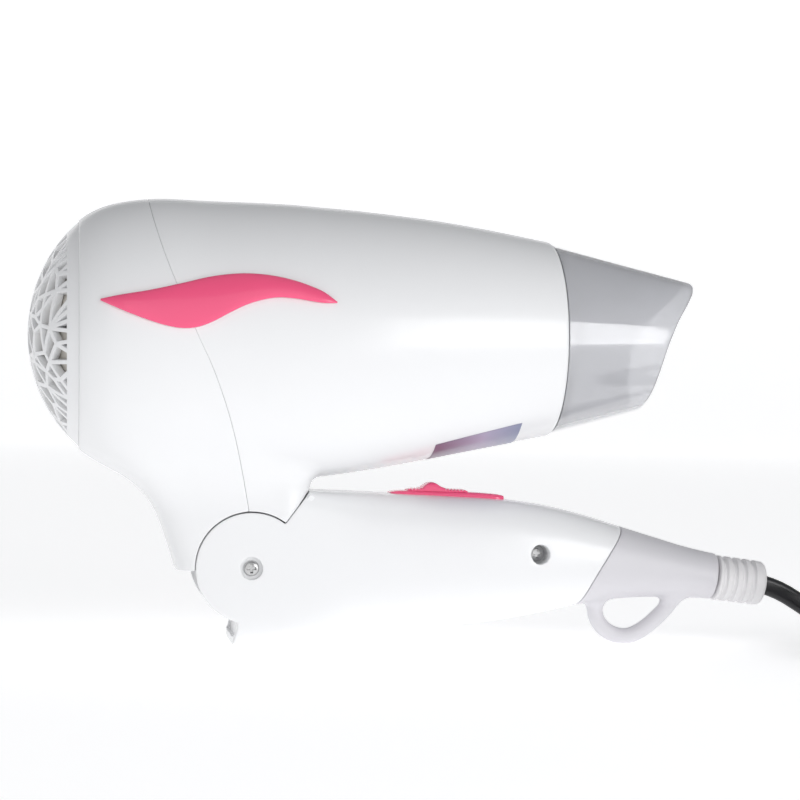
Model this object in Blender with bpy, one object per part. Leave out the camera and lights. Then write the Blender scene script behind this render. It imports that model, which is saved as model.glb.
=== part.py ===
"""Folding travel hair dryer, modelled as separate pieces with real joints.

Lengths are in millimetres until a mesh is handed to Blender, which gets metres. The dryer is drawn
with its barrel level along X and its outlet at +X. At the end it is turned a little, nose up, so
that it stands folded on the heel of its handle and on its hanging loop, with the floor at z = 0.
The mains lead on the floor is drawn in that last frame.
"""

import math
import random

import bmesh
import bpy
import numpy as np
from mathutils import Matrix, Vector

MM = 0.001

# Barrel
BARREL_Z = 96.0
BARREL_MIDDLE = [(-108, 96.8), (-98, 96.5), (-88, 96.2), (-77, 96.0), (-65, 95.7), (-52, 95.3), (-38, 94.9),
                 (-27, 94.7), (-15, 95.0), (-2, 95.4), (10, 95.8), (23, 96.0), (48, 96.0)]
BARREL_RADII = [(-108, 24.9), (-101, 34.0), (-94, 38.6), (-87, 40.7), (-79, 41.8), (-62, 41.9),
                (-31, 41.6), (-2, 38.3), (20, 34.7), (48, 29.5)]
BARREL_FRONT = 44.8
BARREL_ENDS = (-107.0, 56.0)
WALL = 2.0
INLET_X = -100.4
SEAM = [(20, -48.5), (43, -50.2), (55, -52.5), (66, -55.5), (76, -58.8), (86, -62.6), (96, -67.2),
        (106, -71.2), (116, -75.0), (126, -78.0), (134, -79.6), (140, -80.0)]
SEAM_GAP = 0.15

# Neck and hinge
PIVOT = (-49.5, 26.6)
SIDE = 16.8
NECK_REAR = [(14, -69.5), (25, -71.4), (37, -75.0), (47, -78.6), (60, -82.0), (80, -84.0)]
NECK_FRONT = [(14, -31.6), (30, -31.6), (46, -31.4), (60, -31.0), (80, -31.0)]
NECK_BOTTOM = 25.9
SHOULDER_LOW = (-39.6, 39.4)
SHOULDER_HIGH = (-31.1, 49.7)
CHEEK_RADIUS = 16.6
HEAD_GAP = 0.5
LIP_ANGLE = 256.6
KNUCKLE_RADIUS = 15.4
KNUCKLE_HALF = 9.7
AXLE_RADIUS = 2.5
RUNNING_FIT = 0.08

# Handle
HANDLE_TOP = [(-80, 50.5), (-45, 50.5), (-28, 49.3), (-17, 48.9), (-6, 48.3), (12, 47.4), (31, 46.0),
              (45.5, 43.6), (57, 40.6), (68.7, 36.9), (78, 34.0), (89, 30.6), (100, 28.0), (116, 25.5)]
HANDLE_BOTTOM = [(-80, 3.9), (-53, 3.3), (-47, 3.2), (-40, 3.8), (-24, 4.9), (-8, 5.9), (13, 7.1),
                 (28, 8.6), (42, 10.8), (53, 12.8), (65, 14.4), (78, 14.8), (98.6, 13.8), (116, 11.3)]
HANDLE_HALF = [(-80, SIDE), (-30, SIDE), (0, 16.6), (25, 16.0), (45, 14.6), (60, 12.4), (78, 9.6),
               (100, 7.1), (116, 7.0)]
SQUARENESS = [(-80, 8.0), (-38, 8.0), (-20, 3.8), (0, 3.0), (40, 2.7), (65, 2.3), (80, 2.1), (116, 2.0)]
HANDLE_WALL = 2.4
SLEEVE_EDGE = [(8, 50.0), (13.3, 52.9), (22, 57.2), (30, 62.4), (36.7, 67.2), (42, 69.5)]
SLEEVE_GAP = 0.35
RELIEF_START = (91.0, 21.7)
RELIEF_END = (114.3, 18.5)
SLEEVE_END = 7.1
PLATE_TOP = [(-5.5, 48.9), (-2.7, 49.0), (8, 48.75), (21, 48.25), (30, 47.5)]
SLIDER_UNDER = [(-0.1, 49.2), (18.7, 48.52)]
SLIDER_LIFTS = [(-0.1, 0.4), (1.7, 0.45), (3.2, 0.6), (5.0, 1.3), (6.7, 2.45), (8.5, 2.45), (10.4, 1.4),
                (12.4, 0.75), (15.5, 0.6), (17.6, 0.5), (18.7, 0.35)]
SLOT = (2.7, 21.2)
BOSS = (39.2, 29.6)

# Nozzle
NOZZLE_START = 45.3
NOZZLE_RADIUS = 29.4
NOZZLE_TAPER = 0.252
NOZZLE_WALL = 1.5
COLLAR = (25.7, 27.2)
COLLAR_LENGTH = 5.5
NOZZLE_CUT = [(70, 71.6), (73.5, 73.0), (78, 74.4), (84, 75.6), (94, 78.3), (102, 82.2), (108, 86.6),
              (111, 88.8), (112.8, 89.6), (114.2, 89.0), (115.4, 87.2), (116.6, 82.6), (118, 77.0)]

# Stance: the floor under the level drawing falls by this much from the heel to the loop
FLOOR = [(-53.5, 3.3), (70.5, 0.4)]
CENTRING = 2.03

# Mains lead, 6 mm across and 1.7 m long, drawn standing on the floor
CORD_RADIUS = 3.0
CORD_LOW = 3.3
CORD_ROUTE = [(104.0, 0, 20.6), (110.0, 0, 19.9), (116.0, 0, 18.9), (122.5, 0, 16.6), (129.0, 0, 12.9),
              (136.0, 0, 8.6), (144.0, 0, 5.2), (153.0, 0, 3.6)]
COIL_CENTRE = (164.0, -44.4)
COIL_RADII = (25.0, 41.0)
COIL_HEIGHTS = (0.9, 13.3)
CORD_WRAP = 90.0


HEAD_NODES = ("front_housing", "rear_housing", "rear_grille", "leaf_trim_right", "leaf_trim_left",
              "rating_label", "front_guard", "heat_shield", "mica_cross", "heating_coil", "thermostat",
              "thermal_fuse", "motor", "motor_mount", "hinge_knuckle")


# Curves and fields

def curve(points):
    """A smooth function through the (x, y) points, level outside them."""
    xs, ys = np.array(points, float).T
    slopes = np.gradient(ys, xs)

    def at(x):
        x = np.clip(x, xs[0], xs[-1])
        i = np.clip(np.searchsorted(xs, x) - 1, 0, len(xs) - 2)
        h = xs[i + 1] - xs[i]
        t = (x - xs[i]) / h
        start = (1 + 2 * t) * (1 - t) ** 2 * ys[i] + t * (1 - t) ** 2 * h * slopes[i]
        end = t * t * (3 - 2 * t) * ys[i + 1] + t * t * (t - 1) * h * slopes[i + 1]
        return start + end

    return at


def soft_max(a, b, k):
    return np.maximum(a, b) + np.maximum(k - np.abs(a - b), 0) ** 2 / (4 * k)


def soft_min(a, b, k):
    return -soft_max(-a, -b, k)


barrel_radius = curve(BARREL_RADII)
barrel_middle = curve(BARREL_MIDDLE)
seam_x = curve(SEAM)
neck_rear = curve(NECK_REAR)
neck_front = curve(NECK_FRONT)
blend_size = curve([(-90, 15), (-70, 14), (-50, 12), (-38, 7), (-28, 4)])
handle_top = curve(HANDLE_TOP)
handle_bottom = curve(HANDLE_BOTTOM)
handle_half = curve(HANDLE_HALF)
squareness = curve(SQUARENESS)
sleeve_edge = curve(SLEEVE_EDGE)
nozzle_cut = curve(NOZZLE_CUT)


def barrel_field(p):
    x, reach = p[:, 0], np.hypot(p[:, 1], p[:, 2] - barrel_middle(p[:, 0]))
    lean = (barrel_radius(x + 0.1) - barrel_radius(x - 0.1)) / 0.2
    side = (reach - barrel_radius(x)) / np.sqrt(1 + lean * lean)
    return np.maximum(side, np.maximum(x - BARREL_ENDS[1], BARREL_ENDS[0] - x))


def neck_field(p):
    x, y, z = p.T
    ends = np.maximum(np.maximum(neck_rear(z) - x, x - neck_front(z)), np.maximum(z - 80, 14 - z))
    return soft_max(np.abs(y) - SIDE, ends, 9.0)


def head_field(p):
    """Under zero inside the barrel and its neck, which meet in a fillet."""
    return soft_min(barrel_field(p), neck_field(p), blend_size(p[:, 0]))


def handle_field(p):
    """Under zero inside the handle, whose section is a rounded square that turns round at its end."""
    x, y, z = p.T
    top, bottom, half, n = handle_top(x), handle_bottom(x), handle_half(x), squareness(x)
    tall = (top - bottom) / 2
    ratio = (np.abs(y / half) ** n + np.abs((z - (top + bottom) / 2) / tall) ** n) ** (1 / n)
    return np.maximum((ratio - 1) * np.minimum(half, tall), np.maximum(x - 112, -78 - x))


def floor_at(x):
    (x1, z1), (x2, z2) = FLOOR
    return z1 + (z2 - z1) * (x - x1) / (x2 - x1)


# Meshes from fields

def slope(field, points, step=0.02):
    """The field's gradient at each point."""
    columns = []
    for axis in range(3):
        shift = np.zeros(3)
        shift[axis] = step
        columns.append((field(points + shift) - field(points - shift)) / (2 * step))
    return np.stack(columns, 1)


def press(fields, points, steps):
    """Moves points until every one of the fields is zero there."""
    for _ in range(steps):
        values = np.stack([field(points) for field in fields], 1)
        slopes = np.stack([slope(field, points) for field in fields], 1)
        move = (np.linalg.pinv(slopes, rcond=0.05) @ values[..., None])[..., 0]
        size = np.linalg.norm(move, axis=1, keepdims=True)
        points = points - move * np.minimum(1, 2.0 / np.maximum(size, 1e-9))
    return points


def net(field, low, high, cell):
    """Points and four-sided faces on field = 0, with one point in each cell that it crosses."""
    counts = [int(math.ceil((b - a) / cell)) + 1 for a, b in zip(low, high)]
    axes = [a + cell * np.arange(n) for a, n in zip(low, counts)]
    grid = np.stack(np.meshgrid(*axes, indexing="ij"), -1)
    value = field(grid.reshape(-1, 3)).reshape(counts)
    shape = [n - 1 for n in counts]
    total = np.zeros((math.prod(shape), 3))
    hits = np.zeros(math.prod(shape))
    quads = []
    for axis in range(3):
        first, second = [n for n in range(3) if n != axis]
        near = np.moveaxis(value, axis, 0)[:-1]
        far = np.moveaxis(value, axis, 0)[1:]
        crossed = np.argwhere((near < 0) != (far < 0))
        start, end = near[tuple(crossed.T)], far[tuple(crossed.T)]
        index = np.empty_like(crossed)
        index[:, axis], index[:, first], index[:, second] = crossed.T
        points = grid[tuple(index.T)].copy()
        points[:, axis] += cell * start / (start - end)
        corners = []
        for a, b in ((0, 0), (1, 0), (1, 1), (0, 1)):
            at = index.copy()
            at[:, first] -= a
            at[:, second] -= b
            flat = np.ravel_multi_index(tuple(at.T), shape)
            np.add.at(total, flat, points)
            np.add.at(hits, flat, 1)
            corners.append(flat)
        faces = np.stack(corners, 1)
        outward = (start < 0) != (axis == 1)
        quads.append(np.where(outward[:, None], faces, faces[:, ::-1]))
    used = np.flatnonzero(hits)
    number = np.full(len(hits), -1)
    number[used] = np.arange(len(used))
    points, faces = total[used] / hits[used][:, None], number[np.concatenate(quads)]
    ends = np.concatenate([faces[:, [n, (n + 1) % 4]] for n in range(4)])
    for _ in range(4):
        points = press([field], points, 2)
        near_by, count = np.zeros_like(points), np.zeros(len(points))
        np.add.at(near_by, ends[:, 0], points[ends[:, 1]])
        np.add.at(count, ends[:, 0], 1)
        points = 0.4 * points + 0.6 * near_by / count[:, None]
    return press([field], points, 4), faces


class Skin:
    """A mesh on a field's surface that can be cut along the zero lines of other fields."""

    def __init__(self, field, low, high, cell):
        self.field, self.cell, self.lines = field, cell, {}
        self.bm = bmesh.new()
        points, faces = net(field, low, high, cell)
        verts = [self.bm.verts.new(point) for point in points]
        for face in faces:
            self.bm.faces.new([verts[n] for n in face])
        bmesh.ops.triangulate(self.bm, faces=self.bm.faces[:])

    def cut(self, line):
        """Keeps the side where line is under zero."""
        bm = self.bm
        verts = bm.verts[:]
        values = line(np.array([v.co for v in verts]))
        value = {v: 0.0 if abs(x) < 0.2 * self.cell else x for v, x in zip(verts, values)}
        on_line = [v for v in verts if value[v] == 0]
        for edge in bm.edges[:]:
            a, b = edge.verts
            if value[a] * value[b] < 0:
                shared = [f for f in self.lines.get(a, []) if f in self.lines.get(b, [])]
                _, new = bmesh.utils.edge_split(edge, a, value[a] / (value[a] - value[b]))
                value[new] = 0.0
                self.lines[new] = shared if edge.is_boundary else []
                on_line.append(new)
        bmesh.ops.connect_verts(bm, verts=on_line)
        gone = [f for f in bm.faces if max((value[v] for v in f.verts), key=abs) > 0]
        bmesh.ops.delete(bm, geom=gone, context="FACES")
        for vert in on_line:
            if vert.is_valid:
                self.lines.setdefault(vert, []).append(line)
        self.lines = {v: fields for v, fields in self.lines.items() if v.is_valid}
        self.settle()

    def settle(self):
        """Presses the cut points onto the surface and onto each line that they belong to."""
        groups = {}
        for vert, fields in self.lines.items():
            groups.setdefault(tuple(fields), []).append(vert)
        for fields, verts in groups.items():
            points = np.array([v.co for v in verts])
            points = press([self.field, *fields[-2:]], points, 5)
            for vert, point in zip(verts, points):
                vert.co = point

    def copy(self):
        """A second skin like this one, to cut another way."""
        other = Skin.__new__(Skin)
        other.field, other.cell = self.field, self.cell
        self.bm.verts.index_update()
        other.bm = self.bm.copy()
        other.bm.verts.ensure_lookup_table()
        other.lines = {other.bm.verts[v.index]: list(fields) for v, fields in self.lines.items()}
        return other

    def shell(self, name, finish, wall):
        """Makes the object, with the wall's thickness inside the skin, and flattens what meets the floor."""
        bmesh.ops.triangulate(self.bm, faces=self.bm.faces[:])
        bmesh.ops.dissolve_degenerate(self.bm, edges=self.bm.edges[:], dist=0.02)
        for vert in self.bm.verts:
            if vert.co.z < floor_at(vert.co.x) + 0.35:
                vert.co.z = floor_at(vert.co.x)
        obj = finished(name, self.bm, finish)
        solidify = obj.modifiers.new("wall", "SOLIDIFY")
        solidify.thickness = wall * MM
        solidify.offset = -1
        solidify.use_even_offset = False
        return obj


# Objects

FINISHES = {
    "white_gloss": ((0.90, 0.91, 0.93), 0.18, 0.0),
    "pink_gloss": ((0.90, 0.10, 0.23), 0.20, 0.0),
    "smoke_clear": ((0.45, 0.45, 0.50), 0.12, 0.0),
    "grey_soft": ((0.58, 0.57, 0.60), 0.55, 0.0),
    "rib_grey": ((0.65, 0.64, 0.64), 0.55, 0.0),
    "beige": ((0.62, 0.58, 0.50), 0.50, 0.0),
    "black": ((0.02, 0.02, 0.02), 0.50, 0.0),
    "label": ((0.38, 0.38, 0.52), 0.40, 0.0),
    "mica": ((0.60, 0.50, 0.36), 0.60, 0.0),
    "steel": ((0.60, 0.60, 0.60), 0.35, 1.0),
    "brass": ((0.75, 0.58, 0.28), 0.35, 1.0),
    "nylon": ((0.85, 0.85, 0.82), 0.45, 0.0),
    "copper_red": ((0.55, 0.06, 0.05), 0.45, 0.0),
    "copper_blue": ((0.05, 0.12, 0.45), 0.45, 0.0),
}


def material(name, finish):
    colour, roughness, metallic = FINISHES[finish]
    made = bpy.data.materials.new(name)
    made.use_nodes = True
    shader = made.node_tree.nodes["Principled BSDF"]
    shader.inputs["Base Color"].default_value = (*colour, 1)
    shader.inputs["Roughness"].default_value = roughness
    shader.inputs["Metallic"].default_value = metallic
    made.diffuse_color = (*colour, 1)
    return made


def finished(name, bm, finish=None):
    """Turns a bmesh in millimetres into an object in metres. No finish makes it a hidden cutter."""
    bmesh.ops.recalc_face_normals(bm, faces=bm.faces[:])
    bm.transform(Matrix.Scale(MM, 4))
    mesh = bpy.data.meshes.new(name)
    bm.to_mesh(mesh)
    bm.free()
    mesh.shade_smooth()
    mesh.set_sharp_from_angle(angle=math.radians(35))
    obj = bpy.data.objects.new(name, mesh)
    bpy.context.scene.collection.objects.link(obj)
    if finish:
        mesh.materials.append(material(name, finish))
    else:
        obj.hide_render = True
        obj.display_type = "WIRE"
    return obj


def combine(obj, other, operation):
    """Adds a Boolean. The other object becomes a hidden tool."""
    other.hide_render = True
    other.display_type = "WIRE"
    boolean = obj.modifiers.new(other.name, "BOOLEAN")
    boolean.operation = operation
    boolean.object = other
    boolean.solver = "EXACT"
    return obj


def prism(name, finish, outline, start, end, axis="Y"):
    """Pulls a closed outline along one axis. The outline holds the other two coordinates, in order."""
    bm = bmesh.new()
    rings = []
    for at in (start, end):
        if axis == "Y":
            rings.append([bm.verts.new((u, at, v)) for u, v in outline])
        elif axis == "X":
            rings.append([bm.verts.new((at, u, v)) for u, v in outline])
        else:
            rings.append([bm.verts.new((u, v, at)) for u, v in outline])
    close_rings(bm, rings, capped=True)
    return finished(name, bm, finish)


def close_rings(bm, rings, capped):
    """Joins rings of points in order. Capped rings end in a face each, and others close into a loop."""
    pairs = list(zip(rings, rings[1:]))
    if not capped:
        pairs.append((rings[-1], rings[0]))
    for one, two in pairs:
        for n in range(len(one)):
            bm.faces.new((one[n], one[n - 1], two[n - 1], two[n]))
    if capped:
        bm.faces.new(rings[0])
        bm.faces.new(rings[-1][::-1])


def circle(centre, radius, count, turn=0.0):
    """Points of a regular polygon round a centre."""
    return [(centre[0] + radius * math.cos(2 * math.pi * n / count + turn),
             centre[1] + radius * math.sin(2 * math.pi * n / count + turn)) for n in range(count)]


def box(name, finish, low, high):
    outline = [(low[0], low[1]), (high[0], low[1]), (high[0], high[1]), (low[0], high[1])]
    return prism(name, finish, outline, low[2], high[2], "Z")


def lathe(name, finish, profile, origin, along, count=16):
    """Turns (distance along, radius) points round an axis. A closed profile off the axis makes a ring."""
    direction = Vector(along).normalized()
    side = direction.orthogonal().normalized()
    other = direction.cross(side)
    bm = bmesh.new()
    rings = []
    for reach, radius in profile:
        middle = Vector(origin) + direction * reach
        if radius == 0:
            rings.append([bm.verts.new(middle)])
            continue
        ring = []
        for n in range(count):
            turn = 2 * math.pi * n / count
            ring.append(bm.verts.new(middle + radius * (side * math.cos(turn) + other * math.sin(turn))))
        rings.append(ring)
    for one, two in zip(rings, rings[1:] + rings[:1]):
        if len(one) == 1 and len(two) == 1:
            continue
        for n in range(count):
            points = [one[n % len(one)], one[n - 1 if len(one) > 1 else 0],
                      two[n - 1 if len(two) > 1 else 0], two[n % len(two)]]
            bm.faces.new(list(dict.fromkeys(points)))
    return finished(name, bm, finish)


def rod(name, finish, start, end, radius, count=16):
    length = (Vector(end) - Vector(start)).length
    profile = [(0, 0), (0, radius), (length, radius), (length, 0)]
    return lathe(name, finish, profile, start, Vector(end) - Vector(start), count)


def ring(name, finish, start, end, inner, outer, count=16):
    length = (Vector(end) - Vector(start)).length
    profile = [(0, inner), (0, outer), (length, outer), (length, inner)]
    return lathe(name, finish, profile, start, Vector(end) - Vector(start), count)


def smooth_route(points, spacing):
    """Even points on a curve that runs through every given point."""
    points = [Vector(p) for p in points]
    ends = [2 * points[0] - points[1]] + points + [2 * points[-1] - points[-2]]
    dense = []
    for a, b, c, d in zip(ends, ends[1:], ends[2:], ends[3:]):
        for n in range(20):
            t = n / 20
            dense.append(0.5 * (2 * b + (c - a) * t + (2 * a - 5 * b + 4 * c - d) * t * t
                                + (3 * b - a - 3 * c + d) * t ** 3))
    dense.append(points[-1])
    lengths = np.cumsum([0] + [(q - p).length for p, q in zip(dense, dense[1:])])
    count = max(2, round(lengths[-1] / spacing))
    places = np.linspace(0, lengths[-1], count + 1)
    columns = [np.interp(places, lengths, [p[n] for p in dense]) for n in range(3)]
    return [Vector(p) for p in zip(*columns)]


def sweep(name, finish, route, section, up=(0, 0, 1)):
    """Carries a section of (sideways, upwards) points along a route."""
    bm = bmesh.new()
    rings = []
    for n, point in enumerate(route):
        ahead = route[min(n + 1, len(route) - 1)] - route[max(n - 1, 0)]
        sideways = ahead.cross(Vector(up)).normalized()
        upwards = sideways.cross(ahead).normalized()
        rings.append([bm.verts.new(point + sideways * a + upwards * b) for a, b in section])
    close_rings(bm, rings, capped=True)
    return finished(name, bm, finish)


def tube(name, finish, route, radius):
    """A round cord along a route, as a curve with a bevel."""
    line = bpy.data.curves.new(name, "CURVE")
    line.dimensions = "3D"
    line.bevel_depth = radius * MM
    line.bevel_resolution = 3
    line.use_fill_caps = True
    spline = line.splines.new("POLY")
    spline.points.add(len(route) - 1)
    for point, place in zip(spline.points, route):
        point.co = (*(place * MM), 1)
    line.materials.append(material(name, finish))
    obj = bpy.data.objects.new(name, line)
    bpy.context.scene.collection.objects.link(obj)
    return obj


# Head

def housings():
    """The front and rear halves of the barrel, each with its half of the neck."""
    skin = Skin(head_field, (-116, -51, 6), (66, 51, 150), 8.6)
    skin.cut(lambda p: INLET_X - p[:, 0])
    skin.cut(lambda p: p[:, 0] - BARREL_FRONT)
    skin.cut(lambda p: NECK_BOTTOM - p[:, 2])
    front = skin.copy()
    front.cut(lambda p: seam_x(p[:, 2]) + SEAM_GAP - p[:, 0])
    skin.cut(lambda p: p[:, 0] - seam_x(p[:, 2]) + SEAM_GAP)
    front_shell = front.shell("front_housing", "white_gloss", WALL)
    rear_shell = skin.shell("rear_housing", "white_gloss", WALL)
    for shell in (front_shell, rear_shell):
        room = prism(f"cheek_room_{shell.name}", None, circle(PIVOT, CHEEK_RADIUS + HEAD_GAP, 40), -30, 30)
        combine(shell, room, "DIFFERENCE")
    corners = [along_shoulder(-6, HEAD_GAP), along_shoulder(17, HEAD_GAP), along_shoulder(17, -25),
               along_shoulder(-6, -25)]
    combine(front_shell, prism("shoulder_room", None, corners, -30, 30), "DIFFERENCE")


def along_shoulder(reach, above):
    """A point beside the shoulder's line, so far along it from its low end and so far above it."""
    length = math.dist(SHOULDER_LOW, SHOULDER_HIGH)
    run, rise = [(b - a) / length for a, b in zip(SHOULDER_LOW, SHOULDER_HIGH)]
    return SHOULDER_LOW[0] + reach * run - above * rise, SHOULDER_LOW[1] + reach * rise + above * run


def neck_outline():
    """The side view of all that the neck takes from the handle: above the shoulder and round the cheek."""
    px, pz = PIVOT
    turns = [math.radians(52.2 + (LIP_ANGLE - 52.2) * n / 26) for n in range(27)]
    arc = [(px + CHEEK_RADIUS * math.cos(a), pz + CHEEK_RADIUS * math.sin(a)) for a in turns]
    lip = (px + 40 * math.cos(turns[-1]), pz + 40 * math.sin(turns[-1]))
    return [along_shoulder(24, 0)] + arc + [lip, (-110, lip[1]), (-110, 80)]


def mouth_wall():
    """The side view of the wall behind the knuckle, which closes the handle from its lip to its shoulder."""
    inner, outer = 17.0, 18.6
    lip, shoulder = LIP_ANGLE - 360 + 2.0, 51.0
    near = [(inner, lip + (shoulder - lip) * n / 16) for n in range(17)]
    far = [(outer, lip + 5 + (shoulder - lip - 9.5) * n / 16) for n in range(17)]
    polar = near + [(28.3, shoulder), (28.3, shoulder - 3.2)] + far[::-1] + [(22.2, lip + 4), (22.2, lip)]
    return [(PIVOT[0] + reach * math.cos(math.radians(turn)), PIVOT[1] + reach * math.sin(math.radians(turn)))
            for reach, turn in polar]


def grille():
    """The domed inlet grille: straight bars laid across each other at random, in a solid rim."""
    cap, rim, band = 45.5, 33.3, 31.4
    bm = bmesh.new()
    face = bm.faces.new([bm.verts.new((0, y, z)) for y, z in circle((0, 0), band, 32)])
    pick = random.Random(7)
    for n in range(9):
        turn = math.pi * (n + pick.uniform(-0.3, 0.3)) / 9
        normal = Vector((0, math.cos(turn), math.sin(turn)))
        reach = pick.choice((-1, 1)) * pick.uniform(3, 24)
        parts = bm.verts[:] + bm.edges[:] + bm.faces[:]
        bmesh.ops.bisect_plane(bm, geom=parts, plane_co=normal * reach, plane_no=normal)
    cells = [face for face in bm.faces if face.calc_area() > 9]
    bmesh.ops.inset_individual(bm, faces=cells, thickness=0.75, use_even_offset=True)
    bmesh.ops.delete(bm, geom=cells, context="FACES")
    edge = [e for e in bm.edges if e.is_boundary and min(v.co.length for v in e.verts) > band - 0.25]
    made = bmesh.ops.extrude_edge_only(bm, edges=edge)["geom"]
    for vert in (v for v in made if isinstance(v, bmesh.types.BMVert)):
        vert.co *= rim / vert.co.length
    for vert in bm.verts:
        y, z = vert.co.y, vert.co.z
        vert.co.x = -115.65 + cap - math.sqrt(cap * cap - y * y - z * z)
        vert.co.z += float(barrel_middle(INLET_X))
    obj = finished("rear_grille", bm, "white_gloss")
    solidify = obj.modifiers.new("bars", "SOLIDIFY")
    solidify.thickness = 1.6 * MM
    solidify.offset = -1


def leaf_trims():
    """The pointed leaf on each side of the barrel, which swells from its edge to its middle."""
    first, last, steps = -94.5, -26.8, 18
    upper = curve([(first, 105.8), (-89.7, 106.8), (-80.7, 108.3), (-71.6, 110.3), (-62.4, 112.5),
                   (-53.2, 113.4), (-44, 112.6), (-34.8, 110.0), (-30.2, 107.9), (last, 105.3)])
    lower = curve([(first, 105.3), (-89.7, 103.1), (-80.8, 99.6), (-76.3, 98.2), (-71.8, 97.4),
                   (-67.2, 97.7), (-62.6, 99.4), (-58.1, 101.8), (-53.4, 104.1), (-48.8, 105.6),
                   (-44.2, 106.4), (-39.6, 106.2), (-30.3, 104.9), (last, 104.9)])
    along = [first + (last - first) * n / steps for n in range(steps + 1)]
    for name, side in (("leaf_trim_right", -1), ("leaf_trim_left", 1)):
        bm = bmesh.new()
        rows = []
        for n, x in enumerate(along):
            row = []
            span = [-1, -0.8, -0.3, 0.3, 0.8, 1] if 0 < n < steps else [0]
            places = [(a, True) for a in span] + [(a, False) for a in span[::-1]]
            for a, outer in places:
                z = (upper(x) + lower(x)) / 2 + a * (upper(x) - lower(x)) / 2
                lift = 0.35 + (0.35 + 1.1 * math.sqrt(1 - a * a) if outer else 0)
                lift += 0.2 if outer and len(span) == 1 else 0
                reach = barrel_radius(x) + lift
                above = z - float(barrel_middle(x))
                row.append(bm.verts.new((x, side * math.sqrt(reach ** 2 - above ** 2), z)))
            rows.append(row)
        for one, two in zip(rows, rows[1:]):
            count = max(len(one), len(two))
            for m in range(count):
                a = [one[m * len(one) // count], one[(m - 1) % count * len(one) // count]]
                b = [two[(m - 1) % count * len(two) // count], two[m * len(two) // count]]
                corners = list(dict.fromkeys(a + b))
                if len(corners) > 2:
                    bm.faces.new(corners)
        finished(name, bm, "pink_gloss")


def rating_label():
    """A blank rating label, bent round the underside of the barrel near its outlet."""
    bm = bmesh.new()
    rows = []
    for n in range(4):
        x = 6.0 + 26.4 * n / 3
        first = -119.5 - 7.1 * n / 3
        turns = [math.radians(first + (-70 - first) * m / 5) for m in range(6)]
        row = [(0.2, turn) for turn in turns] + [(0.45, turn) for turn in turns[::-1]]
        reaches = [(barrel_radius(x) + lift, turn) for lift, turn in row]
        middle = float(barrel_middle(x))
        rows.append([bm.verts.new((x, r * math.cos(a), middle + r * math.sin(a))) for r, a in reaches])
    close_rings(bm, rows, capped=True)
    finished("rating_label", bm, "label")


def outlet_nozzle():
    """The clear cone that concentrates the air, with a slanted mouth and a collar inside the barrel."""
    bm = bmesh.new()
    count, steps = 40, 6
    columns = []
    for n in range(count):
        turn = 2 * math.pi * n / count
        end = NOZZLE_START
        for _ in range(40):
            radius = NOZZLE_RADIUS - NOZZLE_TAPER * (end - NOZZLE_START)
            end = 0.5 * end + 0.5 * float(nozzle_cut(BARREL_Z + radius * math.sin(turn)))
        column = []
        for m in range(steps + 1):
            x = NOZZLE_START + (end - NOZZLE_START) * m / steps
            column.append((x, NOZZLE_RADIUS - NOZZLE_TAPER * (x - NOZZLE_START)))
        for m in range(steps + 1):
            x, radius = column[steps - m]
            column.append((x, min(radius - NOZZLE_WALL, COLLAR[0] + 0.45 * (x - NOZZLE_START))))
        back = NOZZLE_START - COLLAR_LENGTH
        column += [(back, COLLAR[0]), (back, COLLAR[1]), (NOZZLE_START, COLLAR[1])]
        columns.append([bm.verts.new((x, r * math.cos(turn), BARREL_Z + r * math.sin(turn)))
                        for x, r in column])
    for n in range(count):
        one, two = columns[n - 1], columns[n]
        for m in range(len(one)):
            bm.faces.new((one[m - 1], one[m], two[m], two[m - 1]))
    finished("outlet_nozzle", bm, "smoke_clear")


def heater():
    """The shield tube, the crossed mica boards with their wire, the cut-outs and the outlet guard."""
    z = BARREL_Z
    ring("heat_shield", "mica", (-10, 0, z), (35.0, 0, z), 24.4, 25.2, 24)
    wide, thin = 21.2, 0.5
    cross = [(thin, thin), (thin, wide), (-thin, wide), (-thin, thin), (-wide, thin), (-wide, -thin),
             (-thin, -thin), (-thin, -wide), (thin, -wide), (thin, -thin), (wide, -thin), (wide, thin)]
    prism("mica_cross", "mica", [(y, z + v) for y, v in cross], -6, 32.5, "X")
    turns, per_turn = 5, 12
    helix = []
    for n in range(turns * per_turn + 1):
        turn = 2 * math.pi * n / per_turn
        helix.append(Vector((-2 + 6.4 * n / per_turn, 22.7 * math.cos(turn), z + 22.7 * math.sin(turn))))
    sweep("heating_coil", "steel", helix, circle((0, 0), 0.8, 4), up=(1, 0, 0))
    box("thermostat", "steel", (4, 3, z + 3), (13, 11, z + 8))
    rod("thermal_fuse", "nylon", (4, -7, z + 6), (15, -7, z + 6), 1.8, 10)
    guard = ring("front_guard", "beige", (36.2, 0, z), (38.4, 0, z), 24.4, 26.9, 24)
    for n in range(3):
        turn = math.pi * n / 3
        bar = box(f"guard_bar_{n}", None, (36.5, -24.9, -0.9), (38.1, 24.9, 0.9))
        bar.matrix_world = Matrix.Translation((0, 0, z * MM)) @ Matrix.Rotation(turn, 4, "X")
        combine(guard, bar, "UNION")


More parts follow.
